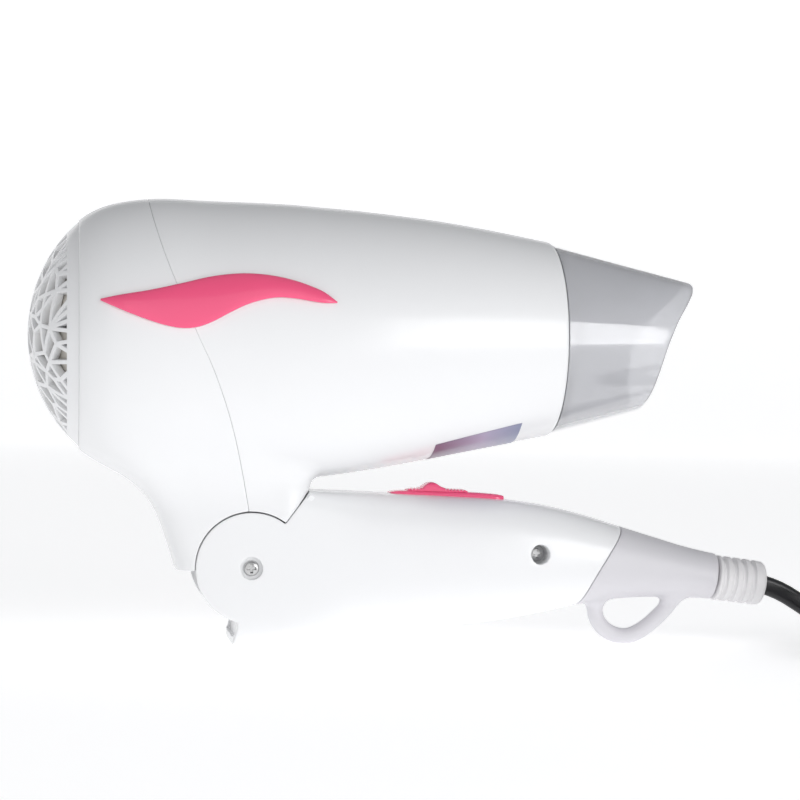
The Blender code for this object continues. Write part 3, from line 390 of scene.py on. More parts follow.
class Skin:
    """A mesh on a field's surface, which can be cut along the zero lines of other fields."""

    ROUND_STEPS = 3
    NEAR_LINE = 0.2
    SETTLE_STEPS = 5

    def __init__(self, form: Field, low: Sequence[float], high: Sequence[float],
                 cell: float) -> None:
        """Covers the field's surface between the two corners with faces one cell wide."""
        self.form, self.cell = form, cell
        self.trims: dict[bmesh.types.BMVert, list[Trim]] = {}
        self.bm = bmesh.new()
        points, faces = net(form, low, high, cell)
        verts = [self.bm.verts.new(point) for point in points]
        for face in faces:
            self.bm.faces.new([verts[n] for n in face])
        bmesh.ops.triangulate(self.bm, faces=self.bm.faces[:])

    def cut(self, trim: Trim) -> None:
        """Keeps the side where the trim is under zero, with its boundary pressed onto the line."""
        bm = self.bm
        verts = bm.verts[:]
        values = trim(np.array([v.co for v in verts]))
        near = self.NEAR_LINE * self.cell
        value = {v: 0.0 if abs(x) < near else x for v, x in zip(verts, values)}
        on_line = [v for v in verts if value[v] == 0]
        for edge in bm.edges[:]:
            a, b = edge.verts
            if value[a] * value[b] < 0:
                shared = [t for t in self.trims.get(a, []) if t in self.trims.get(b, [])]
                _, new = bmesh.utils.edge_split(edge, a, value[a] / (value[a] - value[b]))
                value[new] = 0.0
                self.trims[new] = shared if edge.is_boundary else []
                on_line.append(new)
        bmesh.ops.connect_verts(bm, verts=on_line)
        gone = [f for f in bm.faces if max((value[v] for v in f.verts), key=abs) > 0]
        bmesh.ops.delete(bm, geom=gone, context="FACES")
        for vert in on_line:
            if vert.is_valid:
                self.trims.setdefault(vert, []).append(trim)
        self.trims = {v: found for v, found in self.trims.items() if v.is_valid}
        self.settle()

    def settle(self) -> None:
        """Presses the cut points onto the surface and onto each line that they belong to."""
        groups: dict[tuple[Trim, ...], list[bmesh.types.BMVert]] = {}
        for vert, found in self.trims.items():
            groups.setdefault(tuple(found[-2:]), []).append(vert)
        for found, verts in groups.items():
            points = np.array([v.co for v in verts])
            points = press([self.form, *found], points, self.SETTLE_STEPS)
            for vert, point in zip(verts, points):
                vert.co = point

    def copy(self) -> Skin:
        """Returns a second skin like this one, to cut another way."""
        other = Skin.__new__(Skin)
        other.form, other.cell = self.form, self.cell
        self.bm.verts.index_update()
        other.bm = self.bm.copy()
        other.bm.verts.ensure_lookup_table()
        other.trims = {other.bm.verts[v.index]: list(found) for v, found in self.trims.items()}
        return other

    def shell(self, wall: float, grounded: bool = False) -> bmesh.types.BMesh:
        """Gives the skin its wall, with every cut edge rounded.

        Args:
            wall: The wall's thickness, inside the skin.
            grounded: Whether points under the floor are lifted onto it.

        Returns:
            A closed mesh, in millimetres.
        """
        bm = self.bm
        bmesh.ops.triangulate(bm, faces=bm.faces[:])
        bm.verts.index_update()
        points = np.array([v.co for v in bm.verts])
        normals = slope(self.form, points)
        normals /= np.maximum(np.linalg.norm(normals, axis=1, keepdims=True), TINY)
        faces = np.array([[v.index for v in f.verts] for f in bm.faces])
        rim = [(loop.vert.index, loop.link_loop_next.vert.index)
               for f in bm.faces for loop in f.loops if loop.edge.is_boundary]
        radius, outwards = np.zeros(len(points)), np.zeros_like(points)
        for vert, found in self.trims.items():
            radius[vert.index] = found[-1].edge
        for a, b in rim:
            away = np.cross(points[b] - points[a], normals[a])
            away /= max(np.linalg.norm(away), TINY)
            outwards[a] += away
            outwards[b] += away
        outwards -= normals * (outwards * normals).sum(1, keepdims=True)
        outwards /= np.maximum(np.linalg.norm(outwards, axis=1, keepdims=True), TINY)
        made = bmesh.new()
        radius = radius[:, None]
        rings = [points]
        for n in range(1, self.ROUND_STEPS + 1):
            turn = 0.5 * math.pi * n / self.ROUND_STEPS
            rings.append(points + outwards * radius * math.sin(turn)
                         - normals * radius * (1 - math.cos(turn)))
        rings += [points + outwards * radius - normals * wall, points - normals * wall]
        on_rim = {index for pair in rim for index in pair}
        layers: list[dict[int, bmesh.types.BMVert]] = []
        for n, ring in enumerate(rings):
            whole = n in (0, len(rings) - 1)
            if grounded:
                ring[:, 2] = np.maximum(ring[:, 2], STANCE.floor_at(ring[:, 0]))
            members = range(len(ring)) if whole else sorted(on_rim)
            layers.append({i: made.verts.new(ring[i]) for i in members})
        for corners in faces:
            made.faces.new([layers[0][i] for i in corners])
            made.faces.new([layers[-1][i] for i in corners[::-1]])
        for one, two in zip(layers, layers[1:]):
            for a, b in rim:
                made.faces.new((one[b], one[a], two[a], two[b]))
        return made


# Turned, swept and lofted shapes


def close_rings(bm: bmesh.types.BMesh, rings: Sequence[Sequence[bmesh.types.BMVert]],
                capped: bool) -> None:
    """Joins rings of points in order. Capped rings end in faces, and others close into a loop."""
    pairs = list(zip(rings, rings[1:]))
    if not capped:
        pairs.append((rings[-1], rings[0]))
    for one, two in pairs:
        for n in range(len(one)):
            bm.faces.new((one[n], one[n - 1], two[n - 1], two[n]))
    if capped:
        bm.faces.new(rings[0])
        bm.faces.new(rings[-1][::-1])


def loft(bm: bmesh.types.BMesh, sections: Iterable[Iterable[Sequence[float]]],
         capped: bool = True) -> None:
    """Adds a skin through sections of as many points each."""
    close_rings(bm, [[bm.verts.new(point) for point in section] for section in sections], capped)


def turned(bm: bmesh.types.BMesh, profile: Pairs, origin: Sequence[float], along: Sequence[float],
           count: int = 64) -> None:
    """Turns a profile round an axis.

    Args:
        bm: The mesh that the shape is added to.
        profile: (distance along, radius) points. One that starts and ends on the axis is solid.
        origin: Where the axis starts.
        along: Its direction.
        count: How many faces go round.
    """
    direction = Vector(along).normalized()
    side = direction.orthogonal().normalized()
    other = direction.cross(side)
    rings = []
    for reach, radius in profile:
        middle = Vector(origin) + direction * reach
        if radius == 0:
            rings.append([bm.verts.new(middle)])
            continue
        rings.append([bm.verts.new(middle + radius * (side * a + other * b))
                      for a, b in circle(1.0, count)])
    for one, two in zip(rings, rings[1:] + rings[:1]):
        if len(one) == 1 and len(two) == 1:
            continue
        for n in range(count):
            corners = [one[n % len(one)], one[n - 1 if len(one) > 1 else 0],
                       two[n - 1 if len(two) > 1 else 0], two[n % len(two)]]
            bm.faces.new(list(dict.fromkeys(corners)))


def smooth_route(points: Sequence[Sequence[float]], spacing: float) -> list[Vector]:
    """Lays even points along a curve through every given one.

    Args:
        points: The points that the route passes.
        spacing: About how far apart the new ones are.

    Returns:
        The route's points.
    """
    given = [Vector(p) for p in points]
    ends = [2 * given[0] - given[1]] + given + [2 * given[-1] - given[-2]]
    dense = []
    for a, b, c, d in zip(ends, ends[1:], ends[2:], ends[3:]):
        for n in range(20):
            t = n / 20
            dense.append(0.5 * (2 * b + (c - a) * t + (2 * a - 5 * b + 4 * c - d) * t * t
                                + (3 * b - a - 3 * c + d) * t ** 3))
    dense.append(given[-1])
    lengths = np.cumsum([0] + [(q - p).length for p, q in zip(dense, dense[1:])])
    places = np.linspace(0, lengths[-1], max(2, round(lengths[-1] / spacing)) + 1)
    columns = [np.interp(places, lengths, [p[n] for p in dense]) for n in range(3)]
    return [Vector(p) for p in zip(*columns)]


def swept(bm: bmesh.types.BMesh, route: Sequence[Vector], section: Pairs,
          up: Sequence[float] = (0, 0, 1), capped: bool = True) -> None:
    """Carries a section of (sideways, upwards) points along a route."""
    rings = []
    last = len(route) - 1
    for n, point in enumerate(route):
        before, after = n - 1, (n + 1) % (last + 1)
        if capped:
            before, after = max(n - 1, 0), min(n + 1, last)
        ahead = route[after] - route[before]
        sideways = ahead.cross(Vector(up)).normalized()
        upwards = sideways.cross(ahead).normalized()
        rings.append([point + sideways * a + upwards * b for a, b in section])
    loft(bm, rings, capped)


def rounded(wide: float, tall: float, radius: float, steps: int = 4) -> list[tuple[float, float]]:
    """Returns the outline of a rectangle with round corners, centred on the origin."""
    outline = []
    for corner, (a, b) in enumerate(((1, 1), (-1, 1), (-1, -1), (1, -1))):
        for n in range(steps + 1):
            turn = math.pi / 2 * (corner + n / steps)
            outline.append((a * (wide / 2 - radius) + radius * math.cos(turn),
                            b * (tall / 2 - radius) + radius * math.sin(turn)))
    return outline


def circle(radius: float, count: int) -> list[tuple[float, float]]:
    """Returns the points of a regular polygon round the origin."""
    turns = [2 * math.pi * n / count for n in range(count)]
    return [(radius * math.cos(turn), radius * math.sin(turn)) for turn in turns]


# Finishes


class Grain(Enum):
    """What the surface of a finish is like close up."""

    MOULDED = "moulded"
    SOFT = "soft"
    BRUSHED = "brushed"
    FLAKED = "flaked"


@dataclass(frozen=True)
class Finish:
    """A procedural material.

    The colour drifts between two close shades, the roughness drifts with it, and a fine grain
    stands up from the surface.
    """

    slot: str
    colour: tuple[float, float, float]
    roughness: float
    grain: Grain = Grain.MOULDED
    metallic: float = 0.0
    drift: float = 0.03
    coat: float = 0.0
    relief: float = 0.05
    patch: float = 18.0
    clear: float = 0.0
    ior: float = 1.5

    def grain_scale(self) -> float:
        """Returns how fine the grain is, in features to the metre."""
        return {Grain.MOULDED: 900.0, Grain.SOFT: 2600.0,
                Grain.BRUSHED: 1500.0, Grain.FLAKED: 380.0}[self.grain]

    def shade(self, share: float) -> tuple[float, float, float, float]:
        """Returns the colour made lighter or darker by a share of the drift."""
        red, green, blue = (min(1.0, c * (1 + share * self.drift)) for c in self.colour)
        return red, green, blue, 1.0

    def make(self) -> bpy.types.Material:
        """Builds the material's nodes, and returns it."""
        made = bpy.data.materials.new(self.slot)
        made.use_nodes = True
        nodes, links = made.node_tree.nodes, made.node_tree.links
        shader = nodes["Principled BSDF"]
        shader.inputs["Metallic"].default_value = self.metallic
        shader.inputs["IOR"].default_value = self.ior
        shader.inputs["Coat Weight"].default_value = self.coat
        shader.inputs["Coat Roughness"].default_value = 0.06
        shader.inputs["Transmission Weight"].default_value = self.clear
        place = nodes.new("ShaderNodeTexCoord")
        broad = nodes.new("ShaderNodeTexNoise")
        broad.inputs["Scale"].default_value = self.patch
        broad.inputs["Detail"].default_value = 3.0
        links.new(place.outputs["Object"], broad.inputs["Vector"])
        ramp = nodes.new("ShaderNodeValToRGB")
        ramp.color_ramp.elements[0].position = 0.3
        ramp.color_ramp.elements[1].position = 0.7
        ramp.color_ramp.elements[0].color = self.shade(-1.0)
        ramp.color_ramp.elements[1].color = self.shade(1.0)
        links.new(broad.outputs["Fac"], ramp.inputs["Fac"])
        links.new(ramp.outputs["Color"], shader.inputs["Base Color"])
        spread = nodes.new("ShaderNodeMapRange")
        spread.inputs["To Min"].default_value = max(0.02, self.roughness * 0.85)
        spread.inputs["To Max"].default_value = min(1.0, self.roughness * 1.15)
        links.new(broad.outputs["Fac"], spread.inputs["Value"])
        links.new(spread.outputs["Result"], shader.inputs["Roughness"])
        self.add_grain(made, place, shader)
        return made

    def add_grain(self, made: bpy.types.Material, place: bpy.types.Node,
                  shader: bpy.types.Node) -> None:
        """Adds the fine relief: stretched if brushed, cells if flaked, and noise otherwise."""
        nodes, links = made.node_tree.nodes, made.node_tree.links
        stretch = nodes.new("ShaderNodeMapping")
        lengthways = 0.05 if self.grain is Grain.BRUSHED else 1
        stretch.inputs["Scale"].default_value = (lengthways, 1, 1)
        links.new(place.outputs["Object"], stretch.inputs["Vector"])
        if self.grain is Grain.FLAKED:
            fine = nodes.new("ShaderNodeTexVoronoi")
            height = fine.outputs["Distance"]
        else:
            fine = nodes.new("ShaderNodeTexNoise")
            fine.inputs["Detail"].default_value = 2.0
            height = fine.outputs["Fac"]
        fine.inputs["Scale"].default_value = self.grain_scale()
        links.new(stretch.outputs["Vector"], fine.inputs["Vector"])
        bump = nodes.new("ShaderNodeBump")
        bump.inputs["Strength"].default_value = self.relief
        bump.inputs["Distance"].default_value = 0.0002
        links.new(height, bump.inputs["Height"])
        links.new(bump.outputs["Normal"], shader.inputs["Normal"])


@dataclass(frozen=True)
class LabelFinish(Finish):
    """A printed film whose colour runs from mauve, through a paler mauve, to blue-grey.

    The colours run along X from start to end, in metres.
    """

    start: float = 0.0
    end: float = 0.01
    colours: tuple[tuple[float, float, float, float], ...] = (
        (0.20, 0.13, 0.20, 1), (0.42, 0.36, 0.50, 1), (0.21, 0.25, 0.38, 1))

    def make(self) -> bpy.types.Material:
        """Builds the plain finish, and then lays the printed colours over it."""
        made = super().make()
        nodes, links = made.node_tree.nodes, made.node_tree.links
        shader = nodes["Principled BSDF"]
        place = nodes.new("ShaderNodeTexCoord")
        lay = nodes.new("ShaderNodeMapping")
        lay.vector_type = "TEXTURE"
        lay.inputs["Location"].default_value = (self.start, 0, 0)
        lay.inputs["Scale"].default_value = [self.end - self.start] * 3
        links.new(place.outputs["Object"], lay.inputs["Vector"])
        run = nodes.new("ShaderNodeTexGradient")
        links.new(lay.outputs["Vector"], run.inputs["Vector"])
        print_ramp = nodes.new("ShaderNodeValToRGB")
        elements = print_ramp.color_ramp.elements
        elements.new(0.5)
        for element, colour in zip(elements, self.colours):
            element.color = colour
        links.new(run.outputs["Fac"], print_ramp.inputs["Fac"])
        links.new(print_ramp.outputs["Color"], shader.inputs["Base Color"])
        return made


@dataclass
class Workshop:
    """Keeps the finishes that have been made, and turns meshes into pieces on their bodies."""

    finishes: dict[str, Finish]
    made: dict[str, bpy.types.Material] = field(default_factory=dict)
    count: int = 0

    def material(self, slot: str) -> bpy.types.Material:
        """Returns the material of a slot, made at its first use."""
        if slot not in self.made:
            self.made[slot] = self.finishes[slot].make()
        return self.made[slot]

    def piece(self, name: str, bm: bmesh.types.BMesh, slot: str, body: str,
              replaces: Sequence[str] = (), stand: Matrix = STAND,
              sharp: float = 38.0) -> bpy.types.Object:
        """Makes one piece of the dryer.

        Args:
            name: The piece's name.
            bm: Its mesh, in millimetres, which is freed.
            slot: The material slot that it takes its finish from.
            body: The body that it moves with.
            replaces: The CAD nodes that it stands for.
            stand: Where the drawing stands in the shared frame.
            sharp: The angle in degrees over which an edge is shaded sharp.

        Returns:
            The piece.
        """
        bmesh.ops.recalc_face_normals(bm, faces=bm.faces[:])
        bm.transform(stand @ Matrix.Scale(MM, 4))
        mesh = bpy.data.meshes.new(name)
        bm.to_mesh(mesh)
        bm.free()
        mesh.shade_smooth()
        mesh.set_sharp_from_angle(angle=math.radians(sharp))
        mesh.materials.append(self.material(slot))
        made = bpy.data.objects.new(name, mesh)
        bpy.context.scene.collection.objects.link(made)
        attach(made, body)
        if replaces:
            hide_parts(*replaces)
        self.count += 1
        LOG.info("%-20s on %-7s %6d faces, %s", name, body, len(mesh.polygons), slot)
        return made

    def carry_over(self, node: bpy.types.Object, slot: str) -> None:
        """Gives a CAD node that is shown as it is the finish of a slot."""
        node.data.materials.clear()
        node.data.materials.append(self.material(slot))
        LOG.info("%-20s carried over, %s", node.name, slot)


# Sub-assemblies


@dataclass
class Housings:
    """The front and rear halves of the barrel, each with its half of the neck."""

    cell: float = 1.7
    wall: float = 2.0
    inlet: float = -100.75
    outlet: float = 44.8
    seam_gap: float = 0.04
    seam: Curve = Curve([
        (20, -48.5), (43, -50.2), (55, -52.5), (66, -55.5), (76, -58.8), (86, -62.6), (96, -67.2),
        (106, -71.2), (116, -75.0), (126, -78.0), (134, -79.6), (140, -80.0)])

    def build(self) -> tuple[bmesh.types.BMesh, bmesh.types.BMesh]:
        """Returns the front shell and the rear shell."""
        skin = Skin(HEAD, (-116, -51, 6), (66, 51, 150), self.cell)
        skin.cut(Trim(lambda p: self.inlet - p[:, 0], 0.4))
        skin.cut(Trim(lambda p: p[:, 0] - self.outlet, 1.1))
        skin.cut(Trim(lambda p: HINGE.neck_bottom - p[:, 2], 0.3))
        skin.cut(Trim(HINGE.head_cheek, 0.25))
        skin.cut(Trim(HINGE.head_shoulder, 0.3))
        front = skin.copy()
        front.cut(Trim(lambda p: self.seam(p[:, 2]) + self.seam_gap - p[:, 0], 0.2))
        skin.cut(Trim(lambda p: p[:, 0] - self.seam(p[:, 2]) + self.seam_gap, 0.2))
        return front.shell(self.wall), skin.shell(self.wall)

    def dress(self, shop: Workshop) -> None:
        """Makes the two pieces."""
        front, rear = self.build()
        shop.piece("housing_front", front, "white_plastic", "head", ["front_housing"])
        shop.piece("housing_rear", rear, "white_plastic", "head", ["rear_housing"])


@dataclass
class Grille:
    """The domed inlet grille: a smooth rim round a web of fine straight bars, over a screen."""

    tip: float = -115.65
    dome: float = 45.5
    rim: float = 33.85
    band: float = 31.0
    spacing: float = 5.9
    row_share: float = 0.87
    shake: float = 0.36
    clear_share: float = 0.45
    bar_half: float = 0.58
    merged: float = 0.75
    smallest_cell: float = 4.0
    longest_bar: float = 3.0
    thick: float = 2.4
    soft_edge: float = 0.3
    screen: float = 28.5
    screen_faces: tuple[float, float] = (3.4, 4.0)
    seed: int = 11

    def bulge(self, y: float, z: float) -> float:
        """Returns the dome's place along X."""
        return self.tip + self.dome - math.sqrt(self.dome ** 2 - y * y - z * z)

    def knots(self, pick: random.Random) -> list[Vector]:
        """Returns where the bars meet: an even ring on the band, and a shaken grid inside it."""
        points = [Vector(point) for point in circle(self.band, 64)]
        count = int(self.band / self.spacing) + 1
        for row in range(-count, count + 1):
            for column in range(-count, count + 1):
                shift = 0.5 * self.spacing * (row % 2)
                point = Vector((column * self.spacing + shift, row * self.spacing * self.row_share))
                shaken = Vector((pick.uniform(-1, 1), pick.uniform(-1, 1)))
                point += shaken * self.spacing * self.shake
                if point.length < self.band - self.clear_share * self.spacing:
                    points.append(point)
        return points

    def web(self) -> bmesh.types.BMesh:
        """Returns the bars and the rim as a flat sheet in the plane x = 0.

        The knots are joined into triangles, some of them are merged in pairs, and each cell is then
        inset and taken out, which leaves the bars.
        """
        pick = random.Random(self.seed)
        spots, _, faces, *_ = delaunay_2d_cdt(self.knots(pick), [], [], 0, 1e-4)
        bm = bmesh.new()
        verts = [bm.verts.new((0, *spot)) for spot in spots]
        for face in faces:
            bm.faces.new([verts[n] for n in face])
        bm.edges.ensure_lookup_table()
        inner = [e for e in bm.edges if not e.is_boundary]
        pick.shuffle(inner)
        taken: set[bmesh.types.BMFace] = set()
        gone = []
        for edge in inner:
            if pick.random() < self.merged and not taken.intersection(edge.link_faces):
                taken.update(edge.link_faces)
                gone.append(edge)
        bmesh.ops.dissolve_edges(bm, edges=gone, use_verts=False)
        cells = [face for face in bm.faces if face.calc_area() > self.smallest_cell]
        bmesh.ops.inset_individual(bm, faces=cells, thickness=self.bar_half, use_even_offset=True)
        bmesh.ops.delete(bm, geom=cells, context="FACES")
        outermost = [e for e in bm.edges
                     if e.is_boundary and min(v.co.length for v in e.verts) > self.band - 0.12]
        grown = bmesh.ops.extrude_edge_only(bm, edges=outermost)["geom"]
        for vert in (v for v in grown if isinstance(v, bmesh.types.BMVert)):
            vert.co *= self.rim / vert.co.length
        return bm

    def dress(self, shop: Workshop) -> None:
        """Makes the grille and the screen."""
        lift = float(BARREL.middle(self.tip))
        self.add_grille(shop, lift)
        self.add_screen(shop, lift)

    def add_grille(self, shop: Workshop, lift: float) -> None:
        """Bends the sheet into its dome, at a height, and gives it its thickness and soft edges."""
        bm = self.web()
        long = [e for e in bm.edges if e.calc_length() > self.longest_bar]
        bmesh.ops.subdivide_edges(bm, edges=long, cuts=1)
        bmesh.ops.triangulate(bm, faces=[f for f in bm.faces if len(f.verts) > 4])
        for vert in bm.verts:
            vert.co.x = self.bulge(vert.co.y, vert.co.z)
            vert.co.z += lift
        made = shop.piece("inlet_grille", bm, "white_plastic", "head", ["rear_grille"], sharp=30)
        wall = made.modifiers.new("bars", "SOLIDIFY")
        wall.thickness = self.thick * MM
        wall.offset = -1
        soften = made.modifiers.new("edges", "BEVEL")
        soften.width = self.soft_edge * MM
        soften.segments = 2
        soften.limit_method = "ANGLE"
        soften.angle_limit = math.radians(50)

    def add_screen(self, shop: Workshop, lift: float) -> None:
        """Hangs the screen behind the grille, bent to the same dome."""
        reaches = [self.screen * n / 8 for n in range(9)]
        front, back = self.screen_faces
        profile = [(self.bulge(reach, 0) + front, reach) for reach in reaches]
        profile += [(self.bulge(reach, 0) + back, reach) for reach in reaches[::-1]]
        bm = bmesh.new()
        turned(bm, profile, (0, 0, lift), (1, 0, 0), 48)
        shop.piece("inlet_screen", bm, "beige_plastic", "head", sharp=50)


@dataclass
class LeafTrims:
    """The pointed leaf on each side of the barrel, which swells from its edge to its middle."""

    start: float = -94.5
    end: float = -26.8
    steps: int = 72
    spans: int = 16
    base: float = 0.1
    edge: float = 0.5
    crown: float = 1.1
    full_width: float = 5.0
    upper: Curve = Curve([
        (-94.5, 105.8), (-89.7, 106.8), (-80.7, 108.3), (-71.6, 110.3), (-62.4, 112.5),
        (-53.2, 113.4), (-44, 112.6), (-34.8, 110.0), (-30.2, 107.9), (-26.8, 105.3)])
    lower: Curve = Curve([
        (-94.5, 105.3), (-89.7, 103.1), (-80.8, 99.6), (-76.3, 98.2), (-71.8, 97.4), (-67.2, 97.7),
        (-62.6, 99.4), (-58.1, 101.8), (-53.4, 104.1), (-48.8, 105.6), (-44.2, 106.4),
        (-39.6, 106.2), (-30.3, 104.9), (-26.8, 104.9)])

    def section(self, x: float, side: Side) -> list[tuple[float, float, float]]:
        """Returns the closed outline of the leaf at one place along it."""
        high, low = float(self.upper(x)), float(self.lower(x))
        places = [(math.cos(math.pi * n / self.spans), 1.0) for n in range(self.spans + 1)]
        places += [(-math.cos(math.pi * n / 4), 0.0) for n in range(5)]
        outline = []
        for across, outer in places:
            z = (high + low) / 2 + across * (high - low) / 2
            bend = math.sqrt(max(0.0, 1 - across * across)) ** 0.8
            swell = min(1.0, (high - low) / self.full_width) * bend
            reach = float(BARREL.radius(x)) + self.base + outer * (self.edge + self.crown * swell)
            off_middle = z - float(BARREL.middle(x))
            outline.append((x, side.value * math.sqrt(reach ** 2 - off_middle ** 2), z))
        return outline

    def dress(self, shop: Workshop) -> None:
        """Makes both leaves."""
        span = self.end - self.start
        shares = [(1 - math.cos(math.pi * n / self.steps)) / 2 for n in range(self.steps + 1)]
        places = [self.start + span * share for share in shares]
        for side in Side:
            bm = bmesh.new()
            loft(bm, [self.section(x, side) for x in places])
            name = side.name.lower()
            shop.piece(f"leaf_{name}", bm, "pink_plastic", "head", [f"leaf_trim_{name}"], sharp=60)


@dataclass
class RatingLabel:
    """A blank printed label, bent round the underside of the barrel near its outlet.

    It covers the barrel from the angle first to the angle last. Its first edge leans along X.
    """

    start: float = 6.0
    length: float = 26.4
    first: float = -119.5
    lean: float = -7.1
    last: float = -70.0
    faces: tuple[float, float] = (0.06, 0.16)
    steps: int = 12
    turns: int = 24

    def dress(self, shop: Workshop) -> None:
        """Makes the label, which follows the barrel with an even gap."""
        under, over = self.faces
        sections = []
        for n in range(self.steps + 1):
            x = self.start + self.length * n / self.steps
            first = self.first + self.lean * n / self.steps
            turns = [math.radians(first + (self.last - first) * m / self.turns)
                     for m in range(self.turns + 1)]
            outline = [(under, turn) for turn in turns] + [(over, turn) for turn in turns[::-1]]
            reaches = [(float(BARREL.radius(x)) + lift, turn) for lift, turn in outline]
            middle = float(BARREL.middle(x))
            sections.append([(x, r * math.cos(a), middle + r * math.sin(a)) for r, a in reaches])
        bm = bmesh.new()
        loft(bm, sections)
        shop.piece("barrel_label", bm, "label_foil", "head", ["rating_label"])


@dataclass
class Nozzle:
    """The clear cone for the air, with a slanted mouth and a collar inside the barrel."""

    start: float = 44.9
    radius: float = 29.5
    taper: float = 0.252
    wall: float = 1.5
    collar: tuple[float, float] = (25.7, 27.2)
    collar_length: float = 5.5
    funnel: float = 0.45
    count: int = 128
    steps: int = 18
    lip_steps: int = 6
    mouth: Curve = Curve([(70, 71.6), (73.5, 73.0), (78, 74.4), (84, 75.6), (94, 78.3), (102, 82.2),
                          (108, 86.6), (111, 88.8), (112.8, 89.6), (114.2, 89.0), (115.4, 87.2),
                          (116.6, 82.6), (118, 77.0)])

    def column(self, turn: float) -> list[tuple[float, float]]:
        """Returns the closed profile of the wall at one angle: out, round the lip and back in."""
        end = self.start
        for _ in range(60):
            radius = self.radius - self.taper * (end - self.start)
            end = 0.6 * end + 0.4 * float(self.mouth(BARREL.height + radius * math.sin(turn)))
        half = self.wall / 2
        profile = []
        for m in range(self.steps + 1):
            x = self.start + (end - half - self.start) * m / self.steps
            profile.append((x, self.radius - self.taper * (x - self.start)))
        tip = profile[-1][1] - half
        for m in range(1, self.lip_steps):
            bend = math.pi * m / self.lip_steps
            profile.append((end - half + half * math.sin(bend), tip + half * math.cos(bend)))
        inside, outside = self.collar
        inner = [(x, min(r - self.wall, inside + self.funnel * (x - self.start)))
                 for x, r in profile[self.steps::-1]]
        back = self.start - self.collar_length
        return profile + inner + [(back, inside), (back, outside), (self.start, outside)]

    def dress(self, shop: Workshop) -> None:
        """Makes the nozzle."""
        sections = []
        for n in range(self.count):
            a = 2 * math.pi * n / self.count
            sections.append([(x, r * math.cos(a), BARREL.height + r * math.sin(a))
                             for x, r in self.column(a)])
        bm = bmesh.new()
        loft(bm, sections, capped=False)
        shop.piece("clear_nozzle", bm, "smoke_plastic", "nozzle", ["outlet_nozzle"], sharp=50)


@dataclass(frozen=True)
class Recess:
    """A round hole in a side of the handle, with a tube and a floor behind it.

    The surface and the floor are heights over the dryer's middle plane.
    """

    centre: tuple[float, float]
    radius: float
    surface: float
    floor: float
    edge: float = 0.25
    room: float = 0.05
    wall: float = 1.4
    floor_thick: float = 1.2

    def trim(self) -> Trim:
        """Returns the cut that opens the hole in the skin of one half."""
        def line(p: np.ndarray) -> np.ndarray:
            """Returns over zero inside the hole."""
            return self.radius - np.hypot(p[:, 0] - self.centre[0], p[:, 2] - self.centre[1])
        return Trim(line, self.edge)

    def add_tube(self, bm: bmesh.types.BMesh, side: Side) -> None:
        """Adds the tube and the floor that the screw's head sits on."""
        x, z = self.centre
        inside, outside = self.radius + self.room, self.radius + self.wall
        deep = self.surface - self.floor
        end = deep + self.floor_thick
        profile = [(0, inside), (deep, inside), (deep, 0), (end, 0), (end, outside), (0, outside)]
        turned(bm, profile, (x, side.value * self.surface, z), (0, -side.value, 0))


